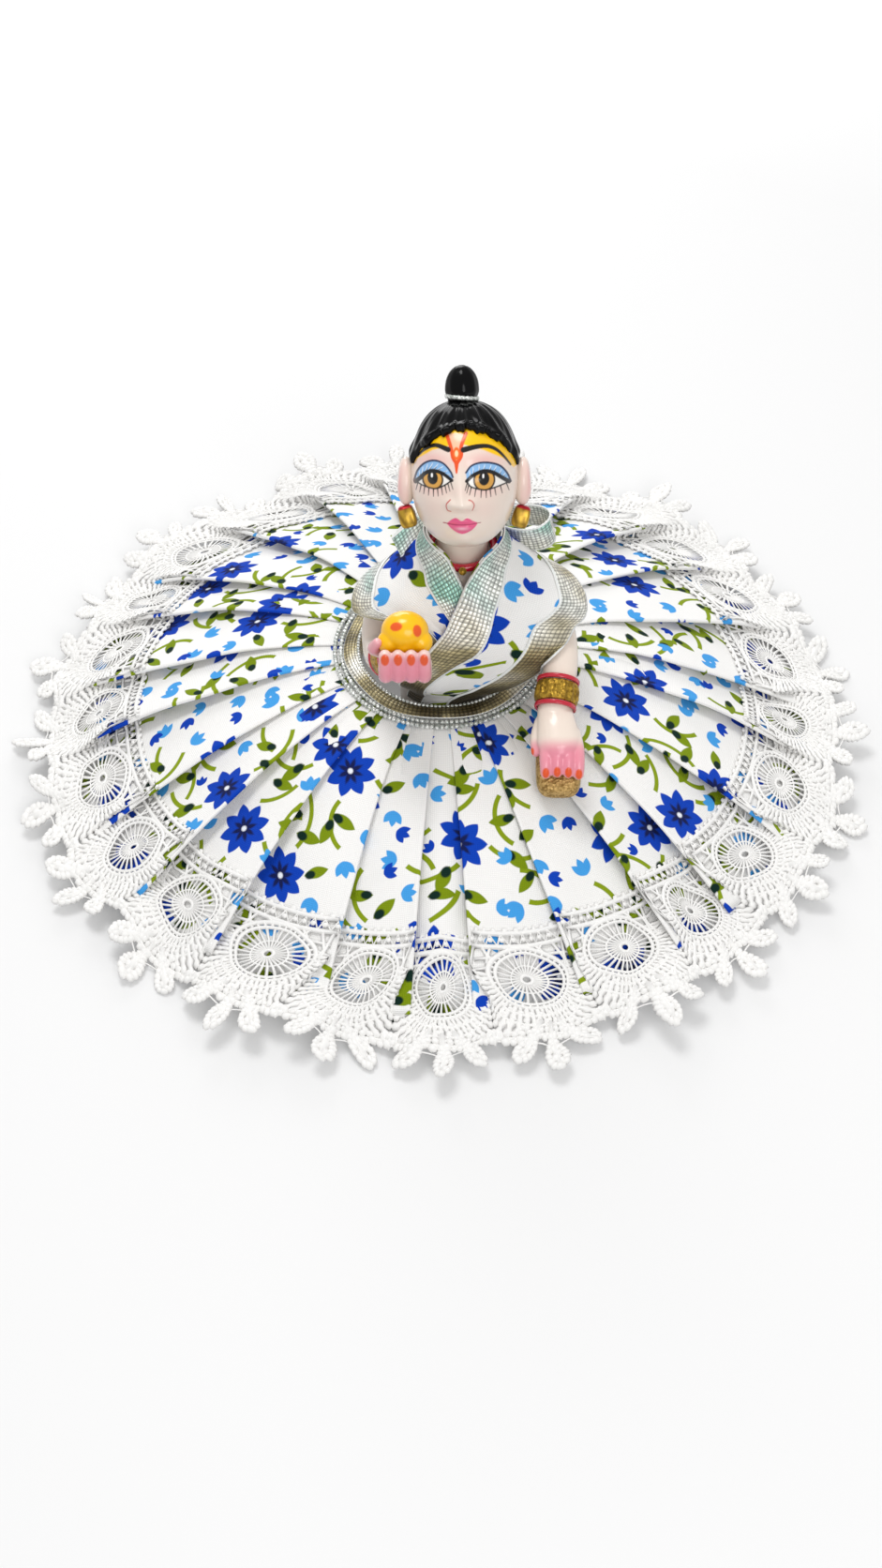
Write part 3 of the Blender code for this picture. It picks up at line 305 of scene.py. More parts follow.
class Wire:
    def __init__(self, tree, socket):
        self.tree = tree
        self.socket = socket

    def math(self, operation, *others, clamp=False):
        node = self.tree.nodes.new("ShaderNodeMath")
        node.operation = operation
        node.use_clamp = clamp
        for socket, value in zip(node.inputs, (self,) + others):
            plug(self.tree, socket, value)
        return Wire(self.tree, node.outputs[0])

    def __add__(self, other):
        return self.math("ADD", other)

    def __sub__(self, other):
        return self.math("SUBTRACT", other)

    def __rsub__(self, other):
        return (self * -1.0).math("ADD", other)

    def __mul__(self, other):
        return self.math("MULTIPLY", other)

    def edge(self, soft):  # 0 to 1 across a soft outline
        return (self * (1.0 / soft)).math("ADD", 0.5, clamp=True)

    def vector(self, operation, *others, scale=None):
        node = self.tree.nodes.new("ShaderNodeVectorMath")
        node.operation = operation
        for socket, value in zip(node.inputs, (self,) + others):
            plug(self.tree, socket, value)
        if scale is not None:
            plug(self.tree, node.inputs["Scale"], scale)
        return Wire(self.tree, node.outputs["Value" if operation in ("LENGTH", "DISTANCE") else "Vector"])

    def split(self):
        node = addNode(self.tree, "ShaderNodeSeparateXYZ", {"Vector": self})
        return [Wire(self.tree, node.outputs[i]) for i in range(3)]


def plug(tree, socket, value):
    if isinstance(value, Wire):
        tree.links.new(value.socket, socket)
    else:
        socket.default_value = value


def addNode(tree, kind, inputs=None, **settings):
    node = tree.nodes.new(kind)
    for key, value in settings.items():
        setattr(node, key, value)
    for key, value in (inputs or {}).items():
        plug(tree, node.inputs[key], value)
    return node


def mixColour(tree, share, first, second):
    node = addNode(tree, "ShaderNodeMix", data_type="RGBA")
    for index, value in ((0, share), (6, first), (7, second)):
        plug(tree, node.inputs[index], value)
    return Wire(tree, node.outputs[2])


def newGroup(name, inputs, outputs):
    tree = bpy.data.node_groups.new(name, "ShaderNodeTree")
    for label, kind in inputs.items():
        tree.interface.new_socket(label, in_out="INPUT", socket_type="NodeSocket" + kind)
    for label, kind in outputs.items():
        tree.interface.new_socket(label, in_out="OUTPUT", socket_type="NodeSocket" + kind)
    start = tree.nodes.new("NodeGroupInput")
    end = tree.nodes.new("NodeGroupOutput")
    return tree, {label: Wire(tree, start.outputs[label]) for label in inputs}, end


def useGroup(tree, group, inputs):
    node = tree.nodes.new("ShaderNodeGroup")
    node.node_tree = group
    for label, value in inputs.items():
        plug(tree, node.inputs[label], value)
    return {socket.name: Wire(tree, socket) for socket in node.outputs}


def turnAbout(tree, place, angle):
    node = addNode(tree, "ShaderNodeVectorRotate", {"Vector": place, "Angle": angle}, rotation_type="Z_AXIS")
    return Wire(tree, node.outputs[0])


def newMaterial(name, sockets):
    material = bpy.data.materials.new(name)
    material.use_nodes = True
    shader = material.node_tree.nodes["Principled BSDF"]
    for label, value in sockets.items():
        shader.inputs[label].default_value = value
    return material, material.node_tree, shader


def plainMaterial(name, sockets):
    return newMaterial(name, sockets)[0]


def flatPlace(tree):
    return Wire(tree, addNode(tree, "ShaderNodeUVMap", uv_map="flat").outputs[0])


def objectPlace(tree):  # millimetres
    place = Wire(tree, tree.nodes.new("ShaderNodeTexCoord").outputs["Object"])
    return place.vector("SCALE", scale=1000.0)


def bumpNormal(tree, shader, height, depth, strength=1.0):
    node = addNode(tree, "ShaderNodeBump", {"Height": height, "Distance": depth * mm, "Strength": strength})
    tree.links.new(node.outputs[0], shader.inputs["Normal"])


def motifPlaceGroup():
    tree, given, end = newGroup("motifPlace", {"Place": "Vector", "Centre": "Vector", "Turn": "Float",
                                               "Size": "Float", "Half": "Vector"}, {"Local": "Vector"})
    away = given["Place"].vector("SUBTRACT", given["Centre"])
    wrapped = away.vector("WRAP", given["Half"], given["Half"].vector("SCALE", scale=-1.0))
    turned = turnAbout(tree, wrapped, given["Turn"] * -1.0)
    scale = given["Size"].math("POWER", -1.0)
    plug(tree, end.inputs["Local"], turned.vector("SCALE", scale=scale))
    return tree


def polar(local):
    x, y, unused = local.split()
    return local.vector("LENGTH"), y.math("ARCTAN2", x)


def bloomGroup():
    tree, given, end = newGroup("bloom", {"Local": "Vector"}, {"Petals": "Float", "Heart": "Float", "Dot": "Float"})
    reach, angle = polar(given["Local"])
    turn = (angle * (8 / (2 * math.pi))).math("FRACT")
    side = (turn - 0.5).math("ABSOLUTE") * 2.0
    petal = 1.0 - (side.math("POWER", 1.1)) * 0.34
    plug(tree, end.inputs["Petals"], (petal - reach).edge(0.05))
    heart = 0.5 - side * 0.27
    plug(tree, end.inputs["Heart"], (heart - reach).edge(0.16))
    plug(tree, end.inputs["Dot"], (0.1 - reach).edge(0.06))
    return tree


def leafGroup():
    tree, given, end = newGroup("leaf", {"Local": "Vector"}, {"Leaf": "Float", "Mark": "Float"})
    x, y, unused = given["Local"].split()
    width = (1.0 - x * x) * 0.44
    plug(tree, end.inputs["Leaf"], (width - y.math("ABSOLUTE")).edge(0.08))
    spot = given["Local"].vector("SUBTRACT", (-0.5, 0.05, 0.0)).vector("MULTIPLY", (2.4, 3.2, 1.0)).vector("LENGTH")
    plug(tree, end.inputs["Mark"], (1.0 - spot).edge(0.35))
    return tree


def budGroup():  # three pointed petals that open from one point
    tree, given, end = newGroup("bud", {"Local": "Vector"}, {"Bud": "Float"})
    shape = None
    for lean, reach in ((-0.6, 0.95), (0.0, 1.0), (0.6, 0.95)):
        x, y, unused = turnAbout(tree, given["Local"], lean).split()
        petal = x * (1.0 - x * (1 / reach)) * 0.98 - y.math("ABSOLUTE")
        shape = petal if shape is None else shape.math("MAXIMUM", petal)
    plug(tree, end.inputs["Bud"], shape.edge(0.06))
    return tree


def stemGroup():  # part of a circle
    tree, given, end = newGroup("stem", {"Local": "Vector", "Sweep": "Float", "Width": "Float"}, {"Stem": "Float"})
    reach, angle = polar(given["Local"])
    ring = given["Width"] - (reach - 1.0).math("ABSOLUTE")
    ends = given["Sweep"] - angle.math("ABSOLUTE")
    plug(tree, end.inputs["Stem"], ring.math("MINIMUM", ends).edge(0.02))
    return tree


def weaveGroup():
    tree, given, end = newGroup("weave", {"Place": "Vector", "Pitch": "Float"}, {"Height": "Float"})
    x, y, unused = given["Place"].vector("SCALE", scale=given["Pitch"].math("POWER", -1.0) * math.pi).split()
    crossing = x.math("SINE") * y.math("SINE")
    plug(tree, end.inputs["Height"], crossing.math("ABSOLUTE"))
    return tree


printSet = {  # one repeat of the cloth print
    "repeat": (52.0, 44.0), "turn": 0.58, "spread": 1.12,
    "blooms": [(12, 13, 8.6, 0.2), (37, 34.5, 8.2, 0.55)],
    "stems": [(18.5, 18, 30, 28, 3.0), (24, 21.5, 29.5, 8.5, -3.0), (43.5, 29, 50, 14.5, 3.0), (31, 40, 18, 36, -2.4),
              (7, 20.5, 3.5, 33, 2.6), (24.5, 38, 21, 28, 1.6), (47, 22, 40, 14.5, -1.2), (16, 5, 27, 2, 1.4)],
    "stemWidth": 0.66,
    "leaves": [(22.0, 25.2, 4.6, 1.3), (29.6, 21.0, 4.3, -0.2), (25.6, 14.4, 4.2, 3.6), (47.6, 27.6, 4.4, 0.6),
               (44.0, 20.6, 4.0, 3.3), (25.0, 41.8, 4.6, 2.6), (6.6, 26.5, 4.3, 0.9), (1.2, 27.6, 4.2, 2.4),
               (22.5, 1.0, 4.2, 0.5), (20.6, 31.6, 4.0, 2.9), (47.4, 37.0, 4.0, 0.1)],
    "palePetals": [(30.4, 4.8, 5.6, -1.5), (50.6, 11.6, 5.6, -1.2), (16.0, 35.4, 5.8, 3.1), (20.6, 24.6, 4.8, -1.9),
                   (3.4, 36.8, 5.4, 1.7), (38.6, 11.6, 5.2, 3.9), (35.2, 20.0, 4.8, 0.6), (9.5, 32.4, 4.6, 0.3),
                   (44.4, 43.0, 5.0, 2.2)],
    "darkPetals": [(42.4, 4.2, 4.6, 1.0), (8.0, 42.4, 4.4, 2.2), (34.0, 12.6, 4.4, 0.2), (27.4, 33.4, 3.6, 4.4)],
    "cloth": "f5f4f2", "stem": "889c18", "leaf": "7b9010", "mark": "0e2a22", "pale": "46a0e6", "bloom": "0c41b6",
    "heart": "131d50", "dot": "eef2fa",
}


def arcThrough(x0, y0, x1, y1, bulge):
    chord = math.hypot(x1 - x0, y1 - y0)
    radius = (chord**2 / 4 + bulge**2) / (2 * abs(bulge))
    away = math.copysign(radius - abs(bulge), bulge)
    cx = (x0 + x1) / 2 + (y1 - y0) / chord * away
    cy = (y0 + y1) / 2 - (x1 - x0) / chord * away
    turn = math.atan2((y0 + y1) / 2 - cy, (x0 + x1) / 2 - cx)
    return cx, cy, radius, turn, math.asin(min(chord / 2 / radius, 1.0))


def printGroup():
    tree, given, end = newGroup("flowerPrint", {"Place": "Vector"}, {"Colour": "Color"})
    spread = printSet["spread"]
    half = (printSet["repeat"][0] * spread / 2, printSet["repeat"][1] * spread / 2, 1000.0)
    motif, bloom, leaf, bud, stem = motifPlaceGroup(), bloomGroup(), leafGroup(), budGroup(), stemGroup()
    across = turnAbout(tree, given["Place"], printSet["turn"])

    def local(x, y, size, turn):
        return useGroup(tree, motif, {"Place": across, "Centre": (x * spread, y * spread, 0.0), "Turn": turn,
                                      "Size": size, "Half": half})["Local"]

    def most(masks):
        total = masks[0]
        for mask in masks[1:]:
            total = total.math("MAXIMUM", mask)
        return total

    stems = []
    for row in printSet["stems"]:
        cx, cy, radius, turn, sweep = arcThrough(*row)
        stems.append(useGroup(tree, stem, {"Local": local(cx, cy, radius * spread, turn), "Sweep": sweep,
                                           "Width": printSet["stemWidth"] / radius})["Stem"])
    leaves = [useGroup(tree, leaf, {"Local": local(*row)}) for row in printSet["leaves"]]
    pale = [useGroup(tree, bud, {"Local": local(*row)})["Bud"] for row in printSet["palePetals"]]
    dark = [useGroup(tree, bud, {"Local": local(*row)})["Bud"] for row in printSet["darkPetals"]]
    blooms = [useGroup(tree, bloom, {"Local": local(*row)}) for row in printSet["blooms"]]
    layers = {"stem": stems, "leaf": [row["Leaf"] for row in leaves], "mark": [row["Mark"] for row in leaves],
              "pale": pale, "bloom": dark + [row["Petals"] for row in blooms],
              "heart": [row["Heart"] for row in blooms], "dot": [row["Dot"] for row in blooms]}
    colour = paint(printSet["cloth"])
    for label, masks in layers.items():
        colour = mixColour(tree, most(masks), colour, paint(printSet[label]))
    plug(tree, end.inputs["Colour"], colour)
    return tree


ribbonSet = {  # woven metal ribbon; its ramp colours are painted reflections and painted shade
    "reflectionAndShadeStops": [(0.0, "54492e"), (0.25, "b3a67c"), (0.5, "f6f3e8"), (0.75, "e6ece6"), (1.0, "9fd0c2")],
    "cell": (0.75, 1.0, 1.0), "bandScale": 0.06, "bandSpread": 1.6, "paintedShadeHeight": 47.0, "paintedShadeSpan": 50.0,
    "thread": "eef0ee", "metal": 0.4, "pitch": 0.95,
}


def tinselGroup():  # bright and dull cells, darker in the weave's gaps as painted shade, in wide bands of colour that are painted reflections
    tree, given, end = newGroup("tinsel", {"Place": "Vector", "Pitch": "Float", "Tone": "Float"},
                                {"Colour": "Color", "Height": "Float"})
    cells = given["Place"].vector("SCALE", scale=given["Pitch"].math("POWER", -1.0))
    cells = cells.vector("MULTIPLY", ribbonSet["cell"])
    x, y, unused = cells.vector("SCALE", scale=math.pi).split()
    height = (x.math("SINE") * y.math("SINE")).math("ABSOLUTE")
    grain = addNode(tree, "ShaderNodeTexWhiteNoise", {"Vector": cells.vector("FLOOR")}, noise_dimensions="2D")
    reflectionBands = addNode(tree, "ShaderNodeTexNoise",
                    {"Vector": given["Place"], "Scale": ribbonSet["bandScale"], "Detail": 1.0})
    ramp = tree.nodes.new("ShaderNodeValToRGB")
    while len(ramp.color_ramp.elements) < len(ribbonSet["reflectionAndShadeStops"]):
        ramp.color_ramp.elements.new(0.5)
    for element, (at, code) in zip(ramp.color_ramp.elements, ribbonSet["reflectionAndShadeStops"]):
        element.position = at
        element.color = paint(code)
    # painted reflections and shade: noise and the height tone pick colours along the ramp
    plug(tree, ramp.inputs[0], (Wire(tree, reflectionBands.outputs[0]) - 0.5) * ribbonSet["bandSpread"] + given["Tone"])
    bright = Wire(tree, grain.outputs[0]) * 0.5 + 0.85
    # painted shade: cells darken towards the weave's gaps
    shade = bright * (height.math("POWER", 0.6) * 0.85 + 0.2)
    plug(tree, end.inputs["Colour"], Wire(tree, ramp.outputs[0]).vector("SCALE", scale=shade))
    plug(tree, end.inputs["Height"], height)
    return tree


weave, flowerPrint, tinsel = weaveGroup(), printGroup(), tinselGroup()


def clothMaterial(name, pitch=0.55):
    material, tree, shader = newMaterial(name, {"Roughness": 0.9, "Sheen Weight": 0.04, "Specular IOR Level": 0.1})
    flat = flatPlace(tree)
    threads = useGroup(tree, weave, {"Place": flat, "Pitch": pitch})["Height"]
    colour = useGroup(tree, flowerPrint, {"Place": flat})["Colour"]
    shaded = colour.vector("SCALE", scale=threads * 0.12 + 0.9)
    plug(tree, shader.inputs["Base Color"], shaded)
    bumpNormal(tree, shader, threads, 0.12, 0.7)
    return material


def plainClothMaterial(name, code, pitch):
    material, tree, shader = newMaterial(name, {"Base Color": paint(code), "Roughness": 0.9,
                                                "Specular IOR Level": 0.2})
    threads = useGroup(tree, weave, {"Place": flatPlace(tree), "Pitch": pitch})["Height"]
    bumpNormal(tree, shader, threads, 0.1, 0.6)
    return material


def tinselMaterial(name, width, edge, tone=None):  # a white thread runs along both edges
    material, tree, shader = newMaterial(name, {"Roughness": 0.34})
    flat = flatPlace(tree)
    if tone is None:  # painted shade: darker and browner low down, with a teal painted reflection high up
        tone = (objectPlace(tree).split()[2] - ribbonSet["paintedShadeHeight"]) * (1 / ribbonSet["paintedShadeSpan"])
    parts = useGroup(tree, tinsel, {"Place": flat, "Pitch": ribbonSet["pitch"], "Tone": tone})
    x, y, unused = flat.split()
    border = ((y - width / 2).math("ABSOLUTE") - (width / 2 - edge)).edge(0.15)
    plug(tree, shader.inputs["Base Color"], mixColour(tree, border, parts["Colour"], paint(ribbonSet["thread"])))
    plug(tree, shader.inputs["Metallic"], (1.0 - border) * ribbonSet["metal"])
    bumpNormal(tree, shader, parts["Height"], 0.18, 0.8)
    return material


def paintedMaterial(name, sockets):
    material, tree, shader = newMaterial(name, sockets)
    layer = addNode(tree, "ShaderNodeAttribute", attribute_name="paint")
    tree.links.new(layer.outputs["Color"], shader.inputs["Base Color"])
    return material


def grainMaterial(name, code, dull, sockets, scale, depth):  # glitter or hammered metal
    material, tree, shader = newMaterial(name, sockets)
    cells = addNode(tree, "ShaderNodeTexVoronoi", {"Vector": objectPlace(tree), "Scale": scale})
    tone = addNode(tree, "ShaderNodeSeparateColor", {"Color": Wire(tree, cells.outputs["Color"])})
    plug(tree, shader.inputs["Base Color"], mixColour(tree, Wire(tree, tone.outputs[0]), paint(dull), paint(code)))
    bumpNormal(tree, shader, Wire(tree, cells.outputs["Distance"]), depth, 0.6)
    return material


printedCotton = clothMaterial("printedCotton")
plainCotton = plainClothMaterial("plainCotton", "e9e8e6", 0.6)
laceCotton = plainMaterial("laceCotton", {"Base Color": paint("f0efed"), "Roughness": 0.85, "Specular IOR Level": 0.2})
stone = paintedMaterial("glazedStone", {"Roughness": 0.26, "Coat Weight": 0.3, "Coat Roughness": 0.05,
                                        "Specular IOR Level": 0.35})
hairPaint = plainMaterial("hairPaint", {"Base Color": paint("050506"), "Roughness": 0.14, "Specular IOR Level": 0.15})
silver = grainMaterial("silverBraid", "f2f3f0", "a3aaa4", {"Metallic": 0.45, "Roughness": 0.3}, 1.4, 0.2)
gold = grainMaterial("goldPaint", "c9a23c", "7d5d17", {"Metallic": 0.75, "Roughness": 0.38}, 1.1, 0.35)
glitter = grainMaterial("goldGlitter", "cfab6b", "8d6c34", {"Metallic": 0.55, "Roughness": 0.45}, 1.6, 0.3)
earringGold = paintedMaterial("earringGold", {"Metallic": 0.6, "Roughness": 0.3})
red = plainMaterial("redEnamel", {"Base Color": paint("bf1230"), "Roughness": 0.25, "Coat Weight": 0.5})


def place(piece, body, slot, material, *nodes):
    if material is not None:
        piece.data.materials.clear()
        piece.data.materials.append(material)
    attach(piece, body)
    if nodes:
        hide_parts(*nodes)
    return piece


# Stage

shot = {"lift": 48.86, "away": 620.0, "aim": (-0.27, -45.1, 25.0), "lens": 46.87, "sensor": 36.0}
light = {
    "sky": 0.6, "floorHalf": 4000.0, "floorTone": 0.65, "floorGlow": 0.18, "farGlow": 0.44, "glowStart": 350.0,
    "glowSpan": 900.0,
    "lamps": [("keyLight", (-140.0, 220.0, 920.0), (0.0, -20.0, 30.0), 400.0, 3.7),  # spot, aim, size, watts
              ("backLight", (-150.0, 950.0, 400.0), (0.0, 0.0, 30.0), 600.0, 3.2),
              ("fillLight", (200.0, -700.0, 600.0), (0.0, 0.0, 50.0), 500.0, 2.45)],
}


def makeCamera():
    camera = bpy.data.objects.new("camera", bpy.data.cameras.new("camera"))
    lift = math.radians(shot["lift"])
    back = Vector((0.0, -math.cos(lift), math.sin(lift)))
    camera.location = (Vector(shot["aim"]) + back * shot["away"]) * mm
    camera.rotation_euler = (math.pi / 2 - lift, 0.0, 0.0)
    camera.data.lens = shot["lens"]
    camera.data.sensor_width = shot["sensor"]
    camera.data.sensor_fit = "AUTO"
    camera.data.clip_start = 0.01
    bpy.context.scene.collection.objects.link(camera)
    bpy.context.scene.camera = camera


def areaLight(name, spot, aim, size, power):
    lamp = bpy.data.objects.new(name, bpy.data.lights.new(name, "AREA"))
    lamp.data.shape = "DISK"
    lamp.data.size = size * mm
    lamp.data.energy = power
    lamp.location = Vector(spot) * mm
    lamp.rotation_euler = (Vector(aim) - Vector(spot)).to_track_quat("-Z", "Y").to_euler()
    bpy.context.scene.collection.objects.link(lamp)


def seenStraight(tree):  # camera, mirror and glass rays see the plain white
    path = tree.nodes.new("ShaderNodeLightPath")
    seen = Wire(tree, path.outputs["Is Camera Ray"])
    for label in ("Is Glossy Ray", "Is Transmission Ray"):
        seen = seen.math("MAXIMUM", Wire(tree, path.outputs[label]))
    return seen


def makeStage():
    white = (1.0, 1.0, 1.0, 1.0)
    world = bpy.data.worlds.new("studio")
    world.use_nodes = True
    bpy.context.scene.world = world
    tree = world.node_tree
    sky = tree.nodes["Background"]
    sky.inputs["Color"].default_value = white
    seen = Wire(tree, tree.nodes.new("ShaderNodeLightPath").outputs["Is Camera Ray"])
    plug(tree, sky.inputs["Strength"], seen * (1.0 - light["sky"]) + light["sky"])
    half = light["floorHalf"]
    floor = addPiece("floor", [(-half, -half, 0), (half, -half, 0), (half, half, 0), (-half, half, 0)], [(0, 1, 2, 3)])
    material, tree, shader = newMaterial("floorWhite", {"Base Color": (light["floorTone"],) * 3 + (1.0,),
                                                        "Roughness": 1.0, "Specular IOR Level": 0.0})
    far = (objectPlace(tree).vector("LENGTH") - light["glowStart"]) * (1 / light["glowSpan"])
    far = far.math("MAXIMUM", 0.0).math("MINIMUM", 1.0)
    strength = seenStraight(tree) * (far * light["farGlow"] + light["floorGlow"])  # evens out the lamps' fall-off
    glow = addNode(tree, "ShaderNodeEmission", {"Color": white, "Strength": strength})
    both = tree.nodes.new("ShaderNodeAddShader")
    tree.links.new(shader.outputs[0], both.inputs[0])
    tree.links.new(glow.outputs[0], both.inputs[1])
    tree.links.new(both.outputs[0], tree.nodes["Material Output"].inputs["Surface"])
    floor.data.materials.append(material)
    for lamp in light["lamps"]:
        areaLight(*lamp)
    bpy.context.scene.view_settings.view_transform = "Standard"


makeCamera()
makeStage()
print("stage ready")

# Skirt

skirt = {
    "edge": 30.5, "waistHeight": 38.6, "laceInner": 98.3, "laceHeight": 21.3, "rim": 138.0, "rimFlat": 4.0,
    "rimHeight": 1.0, "crestDrop": 1.3, "start": 27.0, "hem": 118.3, "rows": 48,
    "pleats": 12, "firstFold": 4.5, "uneven": 2.2, "sway": 2.0, "swayMiddle": 75.0, "swayReach": 60.0,
    "depthWaist": 0.9, "depthHem": 6.2, "depthGrows": (30.0, 100.0), "frontRise": 0.45, "panelPower": 1.25,
    "underlap": 9.0, "underShare": 0.8, "lipWaist": 0.2, "lip": 0.6, "lipGrows": (35.0, 80.0), "printStep": 47.0,
    "ripples": [(0.3, 9, 0.09, 0.0), (0.25, 17, -0.13, 1.0), (0.2, 31, 0.21, 2.0)],  # height, waves, slant, start
    "rippleGrows": (36.0, 80.0), "seam": 3.0, "thick": 0.25, "clothWidth": 95.0,
    "liningDrop": 0.9, "liningShort": 3.0, "liningInset": 1.0, "liningThick": 0.4,
}


def laceTop(radius):  # the dress's outer slope
    drop = skirt["waistHeight"] - skirt["laceHeight"]
    span = skirt["laceInner"] - skirt["edge"]
    fall = math.log((skirt["waistHeight"] - skirt["rimHeight"]) / drop)
    fall /= math.log((skirt["rim"] - skirt["rimFlat"] - skirt["edge"]) / span)
    share = np.maximum(radius - skirt["edge"], 0) / span
    return np.maximum(skirt["waistHeight"] - drop * share**fall, skirt["rimHeight"])


pleatStep = 180.0 / skirt["pleats"]
foldBase = skirt["firstFold"] + pleatStep * np.arange(skirt["pleats"] + 1)
foldBase = np.stack([foldBase, foldBase]) + dice.uniform(-1, 1, (2, skirt["pleats"] + 1)) * skirt["uneven"]
foldSway = dice.uniform(-1, 1, (2, skirt["pleats"] + 1)) * skirt["sway"]
foldBase[:, 0] = skirt["firstFold"]
foldBase[:, -1] = 180.0
foldSway[:, [0, -1]] = 0.0
foldShare = dice.uniform(0.72, 1.15, (2, skirt["pleats"] + 1))


def foldBearing(side, k, radius):  # in degrees from the front
    return foldBase[side, k] + foldSway[side, k] * (radius - skirt["swayMiddle"]) / skirt["swayReach"]


def pleatDepth(radius):
    return skirt["depthWaist"] + (skirt["depthHem"] - skirt["depthWaist"]) * ease(radius, *skirt["depthGrows"])


def lowLine(radius):  # the valleys between the pleats
    return laceTop(radius) - skirt["crestDrop"] - pleatDepth(radius)


def panelShape(share):  # each panel falls from its fold to the next valley
    return np.clip(1 - share, 0, 1) ** skirt["panelPower"]


def ripple(bearing, radius):
    turn = np.radians(bearing)
    return sum(high * np.sin(turn * waves + radius * slant + start) for high, waves, slant, start in skirt["ripples"])


def sideColumns(side):  # from the front middle to the back: bearing, height and flat place of each column
    radius = np.linspace(skirt["start"], skirt["hem"], skirt["rows"])
    low = lowLine(radius)
    deep = pleatDepth(radius)
    lip = skirt["lipWaist"] + (skirt["lip"] - skirt["lipWaist"]) * ease(radius, *skirt["lipGrows"])
    columns = []
    first = foldBearing(side, 0, radius)
    for t in (0.0, 0.25, 0.5, 0.75, 0.92):
        bearing = first * t
        rise = skirt["frontRise"] * deep * math.cos(t * math.pi / 2)
        columns.append((bearing, low + rise, radius * np.radians(bearing)))
    before, origin = np.zeros_like(radius), 0.0
    for k in range(skirt["pleats"]):
        fold = foldBearing(side, k, radius)
        after = foldBearing(side, k + 1, radius)
        wide = np.radians(after - fold) * radius
        under = np.degrees(np.minimum(skirt["underlap"], skirt["underShare"] * wide) / radius)
        high = deep * foldShare[side, k]
        for t in (0.35, 0.7, 1.0):
            bearing = fold + under * t
            columns.append((bearing, low - 0.1 * t, origin + radius * np.radians(bearing - before)))
        origin += skirt["printStep"]
        for t in (0.95, 0.6, 0.3):
            bearing = fold + under * t
            columns.append((bearing, low + high * (0.2 + 0.75 * (1 - t)), origin - under * t * radius * 0.017))
        for turn in (-1.0, -0.2, 0.6, 1.57):
            shift = np.degrees(lip * (1 - math.cos(turn)) / radius)
            columns.append((fold + shift, low + high - lip + lip * math.sin(turn), origin + lip * turn * 0.5))
        for t in (0.06, 0.13, 0.22, 0.32, 0.43, 0.54, 0.65, 0.76, 0.87, 0.95, 1.0):
            bearing = fold + (after - fold) * t
            columns.append((bearing, low + high * panelShape(t), origin + radius * np.radians(bearing - fold)))
        before = fold
    return radius, columns


def makeSkirt():
    radius, right = sideColumns(0)
    radius, left = sideColumns(1)
    columns = [(-b, z, -u) for b, z, u in left[:0:-1]][1:] + right
    bearing = np.stack([c[0] for c in columns], 1)
    height = np.stack([c[1] for c in columns], 1)
    along = np.stack([c[2] for c in columns], 1)
    far = radius[:, None]
    height = height + ripple(bearing, far) * ease(far, *skirt["rippleGrows"])
    points = roundSpot(far, np.radians(bearing), height)
    along = np.hstack([along, along[:, -1:] + skirt["seam"]])
    across = runLength(np.column_stack([radius, laceTop(radius)]))[:, None]
    return clothPiece("skirtCloth", points, flatMap(along, across), skirt["thick"], wrapColumns=True)


def makeLining():
    radius = np.linspace(skirt["start"] + skirt["liningInset"], skirt["hem"] - skirt["liningShort"], 20)[:, None]
    points = roundSpot(radius, fullTurn(120)[None], lowLine(radius) - skirt["liningDrop"])
    turn = np.linspace(0, 2 * np.pi, 121)[None]
    uv = flatMap(radius * np.sin(turn), radius * np.cos(turn))
    return clothPiece("skirtLining", points, uv, skirt["liningThick"], -1.0, wrapColumns=True)


skirtCloth = place(makeSkirt(), "dress", "printed_cotton", printedCotton, "skirt_cloth")
skirtLining = place(makeLining(), "dress", "lining", plainCotton, "skirt_lining")

# Lace

lace = {
    "repeats": 25, "length": 840.0, "width": 47.0, "middle": 15.6, "halfCentre": 20.3, "lift": 0.9,
    "heading": (0.9, 4.9), "zigzag": (4.5, 1.3), "meshRows": (8.0, 11.2, 14.4),
    "hub": 1.5, "ring": 4.8, "wheel": 8.8, "rim": 10.2, "spokes": 28, "rimBars": 36, "ribs": 33, "ribTurn": 1.8,
    "arcRows": (13.0, 16.2), "knotRows": [(12.4, 0.2), (14.9, 0.7), (17.3, 0.45)],  # distance, share of a step
    "edge": 34.6, "edgeDip": 2.2, "yarn": 1.2,
    "fan": 26.6, "fingerTurn": 0.7, "fingerRoot": 6.6, "fingerLength": 13.6,
    "fingerKnots": [(2.0, 0.7), (3.7, 0.9), (5.3, 1.5), (6.8, 2.1), (8.3, 2.35), (9.8, 2.2), (11.2, 1.6)],
    "depthRim": 2.4, "depthFades": (114.0, 138.0), "lap": 4.5, "lapFades": (104.0, 137.0),
    "frontOpen": (0.5, 0.75), "panelOpen": (0.76, 0.88), "evens": (104.0, 126.0), "loosens": (104.0, 136.0),
    "wave": 3.6, "waves": [(0.7, 13, 0.6), (0.5, 23, 2.0), (0.4, 7, 4.0)],  # share, count, start
    "stray": 1.1, "strays": [(1.0, 11, 0.0, 1.0), (0.8, 19, 0.12, 0.0), (0.5, 47, 0.3, 0.0)], "floorGap": 0.85,
}
laceStep = lace["length"] / lace["repeats"]


